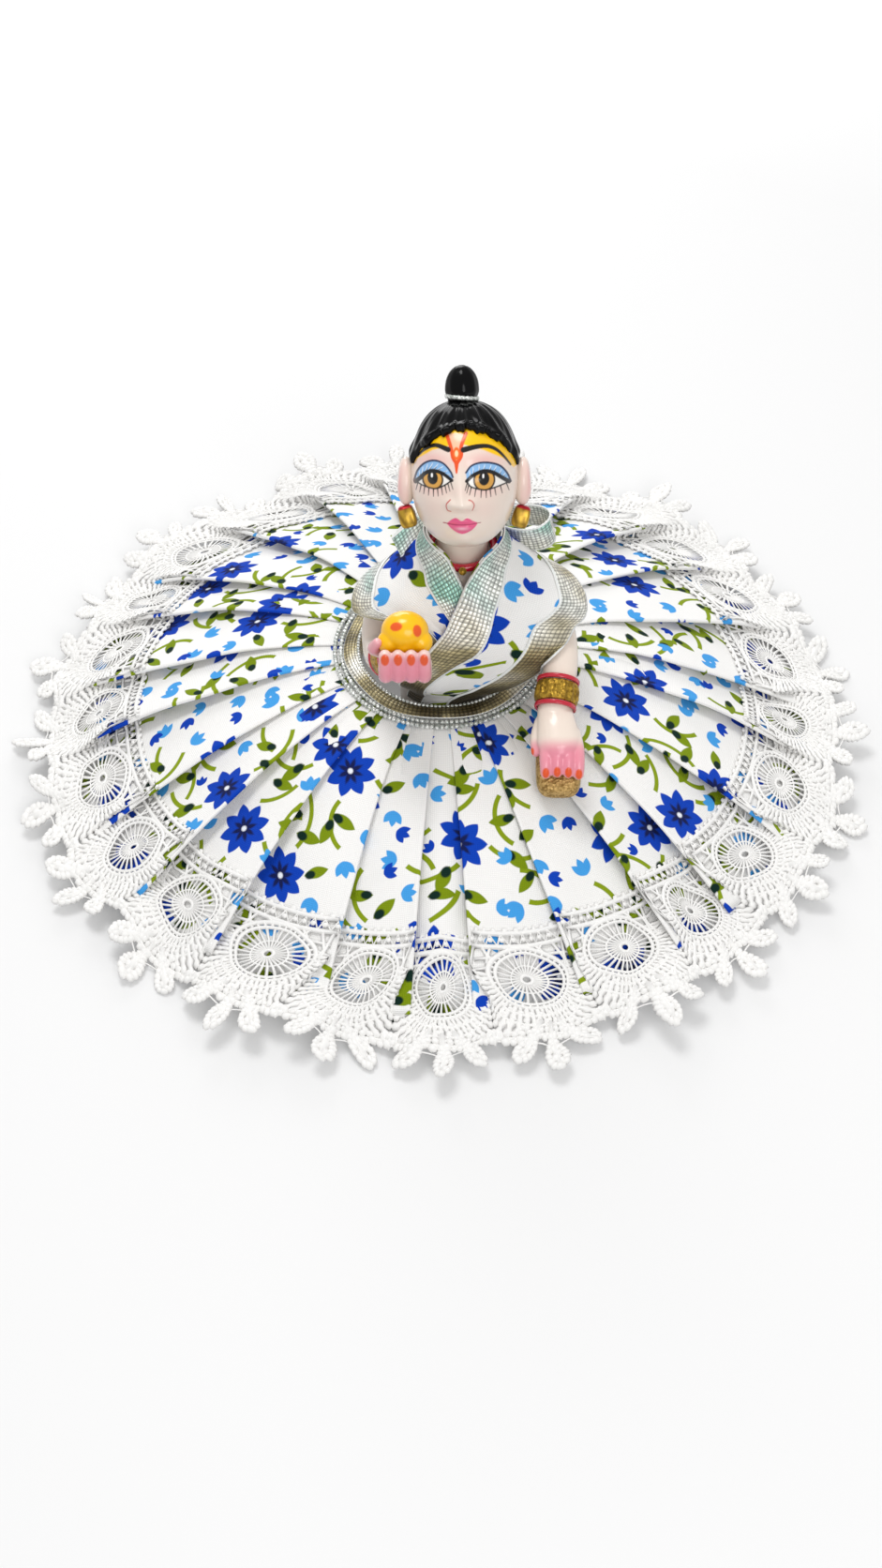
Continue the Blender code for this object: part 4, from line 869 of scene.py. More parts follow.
class Threads:  # gathers flat threads and knots of one repeat
    def __init__(self):
        self.shapes = []

    def strand(self, line, width, loop=False, high=0.85):
        line = np.asarray(line, float)
        width = np.broadcast_to(np.asarray(width, float) * lace["yarn"], (len(line),))[:, None]
        if loop:
            ahead = np.roll(line, -1, 0) - np.roll(line, 1, 0)
        else:
            ahead = np.gradient(line, axis=0)
        ahead = unit(ahead)
        across = np.stack([-ahead[:, 1], ahead[:, 0]], -1)
        rings = []
        for turn in fullTurn(4):
            flat = line + across * (math.cos(turn) * width / 2)
            rings.append(np.column_stack([flat, math.sin(turn) * width * high / 2]))
        rings = np.stack(rings, 1)
        if loop:
            self.shapes.append(closedRings(rings, True))
        else:
            sides = rings.shape[1]
            faces = gridFaces(len(rings), sides, False, True)
            faces += [tuple(range(sides))[::-1], tuple(len(rings) * sides - sides + i for i in range(sides))]
            self.shapes.append((rings.reshape(-1, 3), faces))

    def knot(self, x, y, radius, high=0.9):
        self.shapes.append(ball(np.array((x, y, 0.0)), np.array((radius, radius, radius * high)), 6, 3))

    def circle(self, x, y, radius, width, count):
        turn = fullTurn(count)
        self.strand(np.column_stack([x + radius * np.sin(turn), y + radius * np.cos(turn)]), width, True)

    def arc(self, x, y, radius, start, stop, width, count):  # 0 points outwards, to the floor
        turn = np.linspace(start, stop, count)
        self.strand(np.column_stack([x + radius * np.sin(turn), y + radius * np.cos(turn)]), width)

    def bar(self, first, last, width):
        self.strand([first, last], width)

    def leaf(self, first, last, width):  # a plump crocheted leaf
        share = np.linspace(0, 1, 6)
        line = np.outer(1 - share, first) + np.outer(share, last)
        self.strand(line, 0.35 + width * np.sin(np.pi * share**0.8))


def spot(x, y, radius, turn):
    return x + radius * math.sin(turn), y + radius * math.cos(turn)


def laceEdge(x):  # how far the close-worked part reaches
    return lace["edge"] - lace["edgeDip"] * (np.abs(x) / laceStep * 2) ** 2


def laceNet():
    net = Threads()
    half, middle = laceStep / 2, lace["middle"]
    for y in lace["heading"]:
        net.strand([(x, y) for x in np.linspace(-half, half, 9)], 1.35)
    zig = np.linspace(-half, half, 25)
    net.strand([(x, lace["zigzag"][k % 2]) for k, x in enumerate(zig)], 0.95)
    for x in np.linspace(-half, half, 13)[:-1]:
        net.knot(x, 0.1, 0.8)
        net.knot(x + half / 12, 2.9, 0.75)
    net.circle(0, middle, lace["hub"], 1.0, 12)
    net.circle(0, middle, lace["ring"], 0.5, 26)
    net.circle(0, middle, lace["wheel"], 0.9, 40)
    net.circle(0, middle, lace["rim"], 1.2, 44)
    for turn in fullTurn(lace["spokes"]):
        net.strand([spot(0, middle, lace["hub"] + 0.3, turn), spot(0, middle, 5.4, turn + 0.09),
                    spot(0, middle, lace["wheel"] - 0.2, turn + 0.06)], 0.62)
    for turn in fullTurn(lace["rimBars"]):
        net.bar(spot(0, middle, lace["wheel"] + 0.3, turn), spot(0, middle, lace["rim"] - 0.3, turn), 0.7)
    for k, x in enumerate(np.linspace(-half, half, 15)[:-1]):  # open mesh between the wheel and the heading
        lean = 1.1 if k % 2 else -1.1
        foot = middle - math.sqrt(max(lace["rim"] ** 2 - (x + lean) ** 2, 0.0))
        net.strand([(x, 5.0), (x + lean, (5.0 + foot) / 2), (x + lean * 0.4, foot)], 0.8)
    for y in lace["meshRows"]:
        inner = math.sqrt(max(lace["rim"] ** 2 - (y - middle) ** 2, 0.0))
        for side in (-1, 1):
            net.strand([(side * inner, y), (side * (inner + half) / 2, y + 0.8), (side * half, y)], 0.85)
    ribTurns = np.linspace(-lace["ribTurn"], lace["ribTurn"], lace["ribs"])
    for k, turn in enumerate(ribTurns):  # close-worked ribs that spread from the wheel
        reach = (half - 0.1) / max(abs(math.sin(turn)), 0.01)
        if math.cos(turn) > 0.05:
            for unused in range(4):
                reach = min(reach, (laceEdge(reach * math.sin(turn)) - middle) / math.cos(turn))
        far = np.linspace(lace["rim"] + 0.1, max(reach, lace["rim"] + 1.0), 9)
        line = np.column_stack([far * math.sin(turn), middle + far * math.cos(turn)])
        net.strand(line, 0.092 * far * (1 + 0.3 * np.sin(far * 2.3 + (k % 2) * 2.6)))
    for far in lace["arcRows"]:
        net.arc(0, middle, far, -0.95, 0.95, 1.0, 18)
    for far, share in lace["knotRows"]:
        for turn in (np.arange(11) - 5 + share) * 0.2:
            net.knot(*spot(0, middle, far, turn), 0.95)
    return joinShapes(net.shapes)


def laceFringe():
    fringe = Threads()
    half, fan, root = laceStep / 2, lace["fan"], lace["fingerRoot"]
    for turn in (-lace["fingerTurn"], 0.0, lace["fingerTurn"]):
        ahead = np.array((math.sin(turn), math.cos(turn)))
        across = np.array((math.cos(turn), -math.sin(turn)))
        base = np.array(spot(0, fan, root, turn))
        grow = lace["fingerLength"] / 12.6 * (1.0 if turn == 0 else 0.95)
        for k, (far, aside) in enumerate(lace["fingerKnots"]):
            for reach in (-aside, aside):
                fringe.knot(*(base + ahead * far * grow + across * reach), 1.3)
            if aside > 1.1:
                fringe.knot(*(base + ahead * (far + 0.7) * grow + across * (0.5 if k % 2 else -0.5)), 1.45)
        fringe.knot(*(base + ahead * 12.3 * grow), 1.25)
        spine = [base - ahead * 2, base + ahead * 3, base + ahead * 6 * grow, base + ahead * 11 * grow]
        fringe.strand(spine, [2.4, 1.9, 2.6, 2.2])
    for turn in (-lace["fingerTurn"] / 2, lace["fingerTurn"] / 2):
        for far, bend in ((3.4, 0.9), (6.0, 1.2)):
            ends = [spot(0, fan, root + far, turn - lace["fingerTurn"] / 2), spot(0, fan, root + far - bend, turn),
                    spot(0, fan, root + far, turn + lace["fingerTurn"] / 2)]
            fringe.strand(smoothLine(ends, 4), 0.5)
    outer = spot(0, fan, root + 5.0, lace["fingerTurn"])
    fringe.strand(smoothLine([outer, (half, outer[1] - 1.8), (2 * half - outer[0], outer[1])], 5), 0.5)
    for x in (-2.4, 0.0, 2.4):
        fringe.leaf((half + x * 0.6, 30.0), (half + x, 35.0 - abs(x) * 0.4), 2.0)
    rim = np.linspace(-half, half, 19)  # the knotted edge the fingers grow from
    fringe.strand(np.column_stack([rim, laceEdge(rim)]), 1.2)
    for k, x in enumerate(rim[:-1]):
        fringe.knot(x + 0.9, laceEdge(x + 0.9) + (0.9 if k % 3 else 0.2), 1.35 if k % 2 else 1.1)
        fringe.knot(x, laceEdge(x) - 1.5, 1.1)
    return joinShapes(fringe.shapes)


def rowPoints(tree, start):
    line = tree.nodes.new("GeometryNodeMeshLine")
    apart = tree.nodes.new("ShaderNodeCombineXYZ")
    tree.links.new(start.outputs["Count"], line.inputs["Count"])
    tree.links.new(start.outputs["Step"], apart.inputs["X"])
    tree.links.new(apart.outputs[0], line.inputs["Offset"])
    return line.outputs[0]


laceTree = copiesTree("laceRepeat", {"Count": "Int", "Step": "Float"}, rowPoints)


def laceRadius(across):  # distance down the lace to distance from the middle
    radius = np.linspace(skirt["laceInner"] - 1.5, skirt["rim"] + 4.0, 400)
    return np.interp(across, runLength(np.column_stack([radius, laceTop(radius)])), radius)


def layLace(points):  # the flat strip goes round the hem and follows the pleats
    strip = points[:, 0] - (lace["length"] - laceStep) / 2
    radius = laceRadius(np.maximum(points[:, 1], 0)) + np.minimum(points[:, 1], 0)
    side = np.where(strip >= 0, 0, 1)
    reach = np.abs(strip)
    pleatFlat = (lace["length"] / 2 - lace["halfCentre"]) / skirt["pleats"]
    k = np.where(reach < lace["halfCentre"], -1, ((reach - lace["halfCentre"]) / pleatFlat).astype(int))
    k = np.minimum(k, skirt["pleats"] - 1)
    share = np.where(k < 0, reach / lace["halfCentre"], (reach - lace["halfCentre"] - k * pleatFlat) / pleatFlat)
    start = np.where(k < 0, 0.0, foldBearing(side, np.maximum(k, 0), radius))
    after = foldBearing(side, k + 1, radius)
    deep = lace["depthRim"] + (pleatDepth(radius) - lace["depthRim"]) * (1 - ease(radius, *lace["depthFades"]))
    low = np.maximum(laceTop(radius) - skirt["crestDrop"] - deep, -0.3)
    high = deep * np.where(k < 0, skirt["frontRise"], foldShare[side, np.maximum(k, 0)])
    nextHigh = deep * foldShare[side, k + 1]
    lap = np.degrees(lace["lap"] * (1 - ease(radius, *lace["lapFades"])) / radius) + 0.1
    ends = (k == skirt["pleats"] - 1)
    tuckStart, tuckStop = [np.where(ends, last, np.where(k < 0, front, panel)) for last, front, panel
                           in zip((1.001, 1.002), lace["frontOpen"], lace["panelOpen"])]
    t = np.clip(share / tuckStart, 0, 1)
    tuck = np.clip((share - tuckStart) / (tuckStop - tuckStart), 0, 1)
    back = np.clip((share - tuckStop) / (1 - tuckStop + 1e-6), 0, 1) * (~ends)
    bearing = start + (after - start) * t + lap * tuck - lap * back
    even = reach / (lace["length"] / 2) * 180.0
    spread = ease(radius, *lace["evens"])
    bearing = bearing + (even - bearing) * spread
    rise = high * panelShape(t) + nextHigh * ease(back, 0.0, 1.0)
    height = low + rise + (0.5 * deep - rise) * spread
    bearing = np.where(side == 0, bearing, -bearing)
    turn = np.radians(bearing)
    loose = ease(radius, *lace["loosens"])
    wave = 1.0 + sum(size * np.sin(turn * count + first) for size, count, first in lace["waves"])
    height = height + ripple(bearing, radius) * 0.9 + lace["lift"] + lace["wave"] * wave * loose + points[:, 2]
    height = np.maximum(height, lace["floorGap"] + points[:, 2] * 0.6)
    stray = sum(size * np.sin(turn * count + radius * slant + first) for size, count, slant, first in lace["strays"])
    radius = radius + lace["stray"] * stray * loose
    turn = turn + np.radians(0.35) * np.sin(turn * 37 + radius * 0.25)
    return roundSpot(radius, turn, height)


def makeLace(name, shape):
    piece = copied(name, shape, *laceTree, {"Count": lace["repeats"], "Step": laceStep * mm, "Material": laceCotton})
    setPoints(piece, layLace(meshPoints(piece)))
    return piece


hemLace = place(makeLace("hemLace", laceNet()), "dress", "white_lace", None, "hem_lace")
laceFingers = place(makeLace("hemLaceFingers", laceFringe()), "dress", "white_lace", None)
print("lace ready", len(hemLace.data.polygons), len(laceFingers.data.polygons), round(sheetArea(hemLace), 4))

# Waist

waist = {
    "profile": [(30.7, 38.2), (29.5, 38.9), (27.5, 39.1), (25.9, 38.7), (25.3, 37.3), (25.3, 35.2), (25.9, 33.6),
                (27.6, 33.1), (30.2, 33.2)],
    "thick": 0.4, "wobble": 0.25, "radius": 28.0, "thread": 0.3, "tone": 0.18, "bead": 0.8, "innerBead": 0.6,
    "beadRows": [(31.6, 132), (33.5, 140)], "innerRow": (26.2, 130), "innerHeight": 39.1,  # radius and count
}


def makeWaistband():
    profile = smoothLine(waist["profile"], 4)
    turn = fullTurn(180)[None]
    radius = profile[:, :1] + waist["wobble"] * np.sin(turn * 7 + profile[:, 1:] * 0.3)
    height = profile[:, 1:] + waist["wobble"] * np.sin(turn * 5 + 1.0)
    across = runLength(profile)
    uv = flatMap(np.linspace(0, 2 * np.pi, 181)[None] * waist["radius"], across[:, None])
    piece = clothPiece("waistband", roundSpot(radius, turn, height), uv, waist["thick"], wrapColumns=True)
    return piece, across[-1]


def ringPoints(tree, start):
    ring = tree.nodes.new("GeometryNodeMeshCircle")
    tree.links.new(start.outputs["Count"], ring.inputs["Vertices"])
    tree.links.new(start.outputs["Radius"], ring.inputs["Radius"])
    return ring.outputs[0]


beadTree = copiesTree("beadRing", {"Count": "Int", "Radius": "Float"}, ringPoints)


def makePiping(name, radius, count, bead, height):
    shape = ball(np.zeros(3), np.full(3, bead), 8, 5)
    piece = copied(name, shape, *beadTree, {"Count": count, "Radius": radius * mm, "Material": silver})
    setPoints(piece, meshPoints(piece) + (0.0, 0.0, height))
    return piece


waistband, waistWidth = makeWaistband()
# the ring sits at one fixed, dark point of the ribbon's painted reflection and painted shade ramp
waistTinsel = tinselMaterial("waistTinsel", waistWidth, waist["thread"], waist["tone"])
place(waistband, "dress", "metallic_ribbon", waistTinsel, "waistband_ribbon")
waistWidth * mm
sheetArea(waistband) / (waistWidth * mm)
for label, (radius, count) in zip(("upper", "lower"), waist["beadRows"]):
    seat = laceTop(radius) - skirt["crestDrop"] + waist["bead"] * 0.8
    piping = makePiping("waistPiping." + label, radius, count, waist["bead"], seat)
    place(piping, "dress", "silver_piping", None, "waist_piping_" + label)
innerPiping = makePiping("waistPiping.inner", *waist["innerRow"], waist["innerBead"], waist["innerHeight"])
place(innerPiping, "dress", "silver_piping", None)
print("waist ready")

# Head

head = {
    "centre": (6.4, -5.0, 113.0), "tilt": 35.0, "half": (15.25, 18.0, 20.7, 18.8), "power": (2.2, 2.1),
    "lean": (-1.75, -0.08), "ear": (3.0, 4.5, 6.9), "earSpot": (16.7, 2.0, -2.1), "earDish": 0.9,
    "neck": [(6.0, -5.0, 82.0), (6.1, -5.0, 91.0), (6.4, -5.0, 101.0)], "neckRadius": 7.6,
    "skin": "ebdccf", "blush": "eea9a8",
}


def turned(points, axis, degrees):
    return points @ np.array(Matrix.Rotation(math.radians(degrees), 3, axis)).T


def fromHead(points):  # the head is modelled upright, then tipped back
    return turned(np.asarray(points, float), "X", -head["tilt"]) + np.array(head["centre"])


def headPoint(bearing, height, grow=0.0):  # bearing 0 looks out of the face
    height = np.asarray(height, float)
    halfX, halfY, foot, crown = head["half"]
    reach = np.where(height > 0, crown, foot)
    power = np.where(height > 0, head["power"][1], head["power"][0])
    share = np.maximum(1 - np.abs(height / reach) ** power, 0) ** (1 / power)
    turn = np.radians(bearing)
    x, y = (halfX + grow) * share * np.sin(turn), -(halfY + grow) * share * np.cos(turn)
    return np.stack(np.broadcast_arrays(x, y, height * (reach + grow) / reach), -1)


def midLine(z):  # the face is turned and leans a little
    return head["lean"][0] + head["lean"][1] * z


def bump(x, z, cx, cz, wx, wz):
    return np.exp(-(((x - cx) / wx) ** 2 + ((z - cz) / wz) ** 2))


def faceRelief(x, z):  # how far the carved face stands out
    mid = x - midLine(z)
    down = np.clip((5.0 - z) / 12.0, 0, 1)
    ridge = (0.5 + 2.5 * down**1.6) * np.exp(-((mid / (1.5 + 1.1 * down)) ** 2))
    ridge = ridge * ease(z, 8.0, 3.0) * ease(z, -9.6, -7.4)

    def pair(*size):  # the same bump on both sides
        return bump(mid, z, -size[0], *size[1:]) + bump(mid, z, *size)

    wings = 1.3 * pair(2.9, -6.9, 1.5, 1.7) * ease(z, -9.6, -8.0)
    sockets = -0.7 * pair(7.2, 2.8, 4.2, 2.6)
    balls = 0.7 * pair(7.2, 0.6, 3.6, 2.2)
    upper = 0.9 * np.exp(-((z + 11.6 + 0.02 * mid**2) / 0.75) ** 2) * ease(np.abs(mid), 5.0, 1.0)
    lower = 1.1 * np.exp(-((z + 13.7 - 0.03 * mid**2) / 0.95) ** 2) * ease(np.abs(mid), 4.2, 1.0)
    chin = 0.9 * bump(mid, z, 0.0, -17.6, 3.2, 1.7)
    cheeks = 0.6 * pair(8.5, -6.5, 4.0, 4.0)
    return ridge + wings + sockets + balls + upper + lower + chin + cheeks


def segmentGap(x, z, first, last):
    ahead = np.asarray(last, float) - np.asarray(first, float)
    share = np.clip(((x - first[0]) * ahead[0] + (z - first[1]) * ahead[1]) / max(ahead @ ahead, 1e-9), 0, 1)
    return np.hypot(x - first[0] - ahead[0] * share, z - first[1] - ahead[1] * share), share


def stroke(x, z, line, wide, thin=None, soft=0.16):  # a brush line that may thin towards its end
    line = smoothLine(line, 5) if len(line) > 2 else np.asarray(line, float)
    thin = wide if thin is None else thin
    best = np.zeros_like(x)
    for k in range(len(line) - 1):
        gap, share = segmentGap(x, z, line[k], line[k + 1])
        width = wide + (thin - wide) * (k + share) / (len(line) - 1)
        best = np.maximum(best, softEdge(width / 2 - gap, soft))
    return best


def patch(x, z, outline, soft=0.18):
    outline = np.asarray(outline, float)
    inside = np.zeros(len(x), bool)
    near = np.full(len(x), 1e9)
    for a, b in zip(outline, np.roll(outline, -1, 0)):
        crosses = ((a[1] > z) != (b[1] > z)) & (x < (b[0] - a[0]) * (z - a[1]) / (b[1] - a[1] + 1e-12) + a[0])
        inside ^= crosses
        near = np.minimum(near, segmentGap(x, z, a, b)[0])
    return softEdge(np.where(inside, near, -near), soft)


face = {
    "hairline": [(-15.0, 6.6), (-13.7, 8.4), (-10.8, 11.4), (-7.3, 13.2), (-3.4, 14.4), (0.0, 14.4), (3.4, 13.8),
                 (6.9, 12.2), (10.4, 9.8), (14.7, 6.6)],
    "bandFoot": [(15.2, 3.4), (13.8, 2.5), (10.8, 5.4), (5.1, 8.0), (-0.9, 9.6), (-4.7, 9.0), (-9.0, 7.8),
                 (-13.2, 5.1), (-14.8, 2.6)],
    "brows": [([(-4.7, 8.1), (-8.2, 9.1), (-11.2, 7.8), (-13.2, 5.7)], 1.45, 0.5),
              ([(-0.5, 8.1), (3.0, 8.9), (6.0, 9.0), (8.6, 8.0), (10.8, 6.0), (12.8, 3.5)], 1.5, 0.5)],
    "lids": [[(-14.3, -1.3), (-13.2, 1.9), (-11.2, 4.1), (-8.6, 5.0), (-6.0, 4.3), (-4.1, 2.3), (-3.4, 0.8)],
             [(12.9, -1.1), (11.8, 1.3), (9.9, 3.4), (7.3, 4.4), (4.3, 4.6), (1.7, 3.8), (0.2, 2.0)]],
    "lashes": [[(-13.9, -1.4), (-12.5, -0.1), (-11.0, 1.4), (-9.0, 2.2), (-6.4, 1.7), (-3.7, -0.1)],
               [(12.4, -1.1), (10.4, 0.2), (7.8, 1.8), (5.1, 2.3), (2.3, 1.3), (0.4, -0.3)]],
    "lower": [[(-13.6, -1.3), (-11.2, -2.2), (-8.2, -2.6), (-5.6, -1.5), (-3.7, -0.1)],
              [(12.4, -1.1), (8.2, -2.3), (5.2, -2.8), (1.7, -1.9), (0.4, -0.3)]],
    "iris": [(-9.0, -0.1, 3.0), (5.3, -0.1, 3.1)], "pupil": [(-9.0, 0.3, 1.45), (5.2, 0.3, 1.5)],
    "tilak": [[(-5.2, 12.4), (-3.9, 8.5), (-3.4, 6.0), (-2.4, 4.4)],
              [(0.2, 12.4), (-1.1, 9.0), (-1.1, 6.5), (-2.4, 4.4)]],
    "drop": [(-2.4, 4.6), (-2.4, 2.0)], "bead": (-2.4, 7.1, 0.95, 1.7),
    "nostrils": [[(-4.1, -5.4), (-5.2, -6.8), (-4.9, -8.4), (-3.9, -8.8)],
                 [(1.0, -5.4), (1.9, -5.8), (2.5, -6.9), (2.0, -8.4)]],
    "lips": [(-5.1, -12.4), (-3.9, -11.3), (-2.5, -10.7), (-0.9, -11.5), (0.6, -10.7), (2.2, -11.5), (3.5, -12.3),
             (1.9, -14.3), (-0.8, -15.5), (-3.4, -14.2)],
    "lipLine": [(-6.0, -12.2), (-3.4, -12.6), (-0.8, -12.7), (1.8, -12.5), (4.4, -12.1)],
}
facePaint = {
    "band": "fdc500", "tilakFill": "f4bf9c", "tilak": "e9531c", "bead": "ee6a20", "beadMiddle": "f6d7a6",
    "brow": "14110f", "eyeWhite": "f3efe9", "irisRim": "2c1a08", "iris": "dba24a", "pupil": "100d0c", "lid": "8cb9e6",
    "lidLight": "f4f6fa", "lidMark": "151c30", "lidLine": "1c2a4c", "lash": "0b0b0f", "lower": "15120f",
    "glint": "ffffff", "nostril": "c2483f", "lips": "ea5a8a", "lipLine": "a02045", "paintedLipHighlight": "f8c3d3",
}


def paintEye(x, z, brush, lid, lash, lower, iris, pupil):
    lidLine, lashLine, lowerLine = smoothLine(lid, 5), smoothLine(lash, 5), smoothLine(lower, 5)
    white = patch(x, z, np.vstack([lashLine, lowerLine[::-1]]))
    gap = np.hypot(x - iris[0], z - iris[1])
    pupilGap = np.hypot(x - pupil[0], (z - pupil[1]) * 0.8)
    brush(white, "eyeWhite")
    brush(white * softEdge(iris[2] - gap, 0.2), "irisRim")
    brush(white * softEdge(iris[2] - 0.5 - gap, 0.3), "iris")
    brush(white * softEdge(pupil[2] - pupilGap, 0.2), "pupil")
    brush(patch(x, z, np.vstack([lidLine, lashLine[::-1]]), 0.25), "lid")
    for share in np.linspace(0.12, 0.9, 9):
        root = lashLine[int(share * (len(lashLine) - 1))]
        tip = lidLine[int(share * (len(lidLine) - 1))]
        brush(0.8 * stroke(x, z, [root, root + (tip - root) * 0.75], 0.34, 0.15), "lidLight")
        brush(stroke(x, z, [root, root + (tip - root) * 0.45 + (0.2, 0)], 0.26, 0.1), "lidMark")
    brush(stroke(x, z, lidLine, 0.55, 0.5), "lidLine")
    brush(stroke(x, z, lashLine, 1.15, 0.95), "lash")
    brush(stroke(x, z, lowerLine, 0.42, 0.42), "lower")
    for k in range(10):  # the lower lashes fan out
        root = lowerLine[int((k + 0.5) / 10 * (len(lowerLine) - 1))]
        lean = (root[0] - iris[0]) * 0.14
        brush(stroke(x, z, [root, root + (lean, -2.2)], 0.36, 0.18), "lower")
    brush(stroke(x, z, [(pupil[0] - 0.2, pupil[1] + 1.0), (pupil[0] - 0.2, pupil[1] + 0.4)], 0.5), "glint")


def paintFace(x, z, front):
    colours = coat(head["skin"], len(x))

    def brush(mask, label):
        blendColour(colours, mask * front, facePaint[label])

    for cx, cz, unused in face["iris"]:
        for strength, rise, wide, tall in ((0.6, 5.0, 5.4, 2.6), (0.35, -3.0, 5.4, 1.8), (0.16, -8.0, 4.0, 3.5)):
            blendColour(colours, strength * bump(x, z, cx, cz + rise, wide, tall) * front, head["blush"])
    brush(patch(x, z, face["hairline"] + face["bandFoot"], 0.4), "band")
    brush(patch(x, z, face["tilak"][0] + face["tilak"][1][::-1], 0.4), "tilakFill")
    for line in face["tilak"]:
        brush(stroke(x, z, line, 1.05, 0.95), "tilak")
    beadX, beadZ, beadWide, beadTall = face["bead"]
    ring = np.hypot((x - beadX) / beadWide, (z - beadZ) / beadTall)
    brush(softEdge(1.0 - ring, 0.2), "bead")
    brush(softEdge(0.5 - ring, 0.2), "beadMiddle")
    brush(stroke(x, z, face["drop"], 1.3, 0.5), "tilak")
    for line, wide, thin in face["brows"]:
        brush(stroke(x, z, line, wide, thin), "brow")
    for eye in zip(*[face[label] for label in ("lids", "lashes", "lower", "iris", "pupil")]):
        paintEye(x, z, brush, *eye)
    for line in face["nostrils"]:
        brush(stroke(x, z, line, 0.3, 0.25), "nostril")
    lips = patch(x, z, smoothLine(face["lips"] + face["lips"][:1], 4), 0.25)
    brush(lips, "lips")
    brush(stroke(x, z, face["lipLine"], 0.3, 0.2), "lipLine")
    # painted highlight on the lower lip
    brush(0.8 * lips * bump(x, z, -0.8, -13.8, 1.7, 0.5), "paintedLipHighlight")
    return colours


def makeHead():
    bearing = np.concatenate([np.linspace(-180, -80, 30, endpoint=False), np.linspace(-80, 80, 250, endpoint=False),
                              np.linspace(80, 180, 30, endpoint=False)])  # closer set across the face
    foot = head["half"][2]
    chin = foot * np.array((-0.9995, -0.995, -0.9875, -0.975))
    height = np.concatenate([chin, np.linspace(-0.96 * foot, 13.8, 180), np.linspace(14.4, 18.4, 10), [18.65, 18.77]])
    grid = headPoint(bearing[None], height[:, None])
    x, z = grid[..., 0], grid[..., 2]
    front = ease(-grid[..., 1], 2.0, 7.0)
    grid[..., 1] -= faceRelief(x, z) * front
    shapes = [closedRings(grid)]
    for side in (-1, 1):
        points, faces = ball(np.zeros(3), np.array(head["ear"]), 36, 20)
        dish = bump(points[:, 1], points[:, 2], -0.6, 1.2, 2.4, 4.0) * (points[:, 0] * side > 0)
        points[:, 0] -= side * head["earDish"] * dish
        shapes.append((points + np.array(head["earSpot"]) * (side, 1, 1), faces))
    points, faces = joinShapes(shapes)
    colours = paintFace(points[:, 0], points[:, 2], ease(-points[:, 1], 1.0, 4.0))
    ears = ease(np.abs(points[:, 0]), 15.4, 16.4) * ease(points[:, 1], -4.0, -1.0)
    colours[ears > 0] = paint(head["skin"])
    blendColour(colours, ears * 0.8 * bump(points[:, 1], points[:, 2], -0.6, -2.5, 2.6, 5.0), head["blush"])
    neck = sweep(smoothLine(head["neck"], 6), head["neckRadius"], 36)
    piece = addPiece("headPiece", *joinShapes([(fromHead(points), faces), neck]))
    colourPoints(piece, np.vstack([colours, coat(head["skin"], len(neck[0]))]))
    return turnOut(piece)


hair = {
    "line": [(0, 13.0), (12, 12.9), (35, 11.2), (60, 7.2), (74, 3.4), (86, 3.2), (98, 5.2), (120, 3.0), (150, -4.0),
             (180, -6.0)],  # bearing and height of its lower edge
    "ridges": 15, "ridge": 0.32, "top": 18.78, "under": -0.3,
    "knotFoot": 20.4, "knotTop": 30.4, "knotAside": -0.8, "knotFootRadius": 4.0, "knotRadius": 4.8, "knotWidest": 0.3,
    "bandRadius": 4.3, "bandTube": 0.62, "bandHeight": 21.5, "bandSlant": 0.08,
}


def makeHair():
    bearing = np.linspace(-180, 180, 240, endpoint=False)
    turn = np.radians(bearing)
    lineAngles, lineHeights = zip(*hair["line"])
    foot = np.interp(np.abs(bearing), lineAngles, lineHeights)
    foot = foot + 0.35 * np.sin(turn * 17) + 0.2 * np.sin(turn * 41)
    share = np.concatenate([np.linspace(0, 0.2, 12), np.linspace(0.25, 0.999, 30)])[:, None]
    height = foot[None] + (hair["top"] - foot[None]) * share
    full = 1 - 0.55 * ease(np.abs(bearing), 40.0, 75.0)[None]
    roll = 0.2 + 1.9 * full * np.sqrt(ease(share, -0.02, 0.12)) - 0.6 * full * ease(share, 0.1, 0.32)
    roll = roll + (1.9 - 1.3 * full) * ease(share, 0.3, 1.0)
    comb = np.cos(turn[None] * hair["ridges"] + 3.0 * share) + 0.4 * np.cos(turn[None] * 31 + 1.0)
    outer = headPoint(bearing[None], height, roll + hair["ridge"] * comb * (1 - share) ** 0.5)
    inner = headPoint(bearing[None], height, hair["under"])
    return solidPiece("hairCap", *closedRings(fromHead(np.concatenate([inner[::-1], outer]))))


def makeTopknot():
    turn = fullTurn(48)
    start, widest, middle = hair["knotFootRadius"], hair["knotRadius"], hair["knotWidest"]
    rings = []
    for share in np.linspace(0, 1, 26):
        z = hair["knotFoot"] + (hair["knotTop"] - hair["knotFoot"]) * share
        if share < middle:
            wide = start + (widest - start) * ease(share, 0.0, middle)
        else:
            wide = widest * max(1 - ((share - middle) / (1.005 - middle)) ** 2.2, 0.0) ** 0.5
        wide = wide * (1 + 0.02 * np.cos(turn * 9 + share * 2))
        x, y = wide * np.cos(turn) + hair["knotAside"], wide * np.sin(turn) * 0.96
        rings.append(np.stack([x, y, np.full(48, z)], -1))
    return solidPiece("topknotPiece", *closedRings(fromHead(rings)))


def makeTopknotBand():
    points, faces = ringShape(hair["bandRadius"], hair["bandTube"], 96, 12, 21, 0.1)
    points[:, 2] -= hair["bandSlant"] * points[:, 0]
    return solidPiece("topknotBand", fromHead(points + np.array((hair["knotAside"], 0, hair["bandHeight"]))), faces)


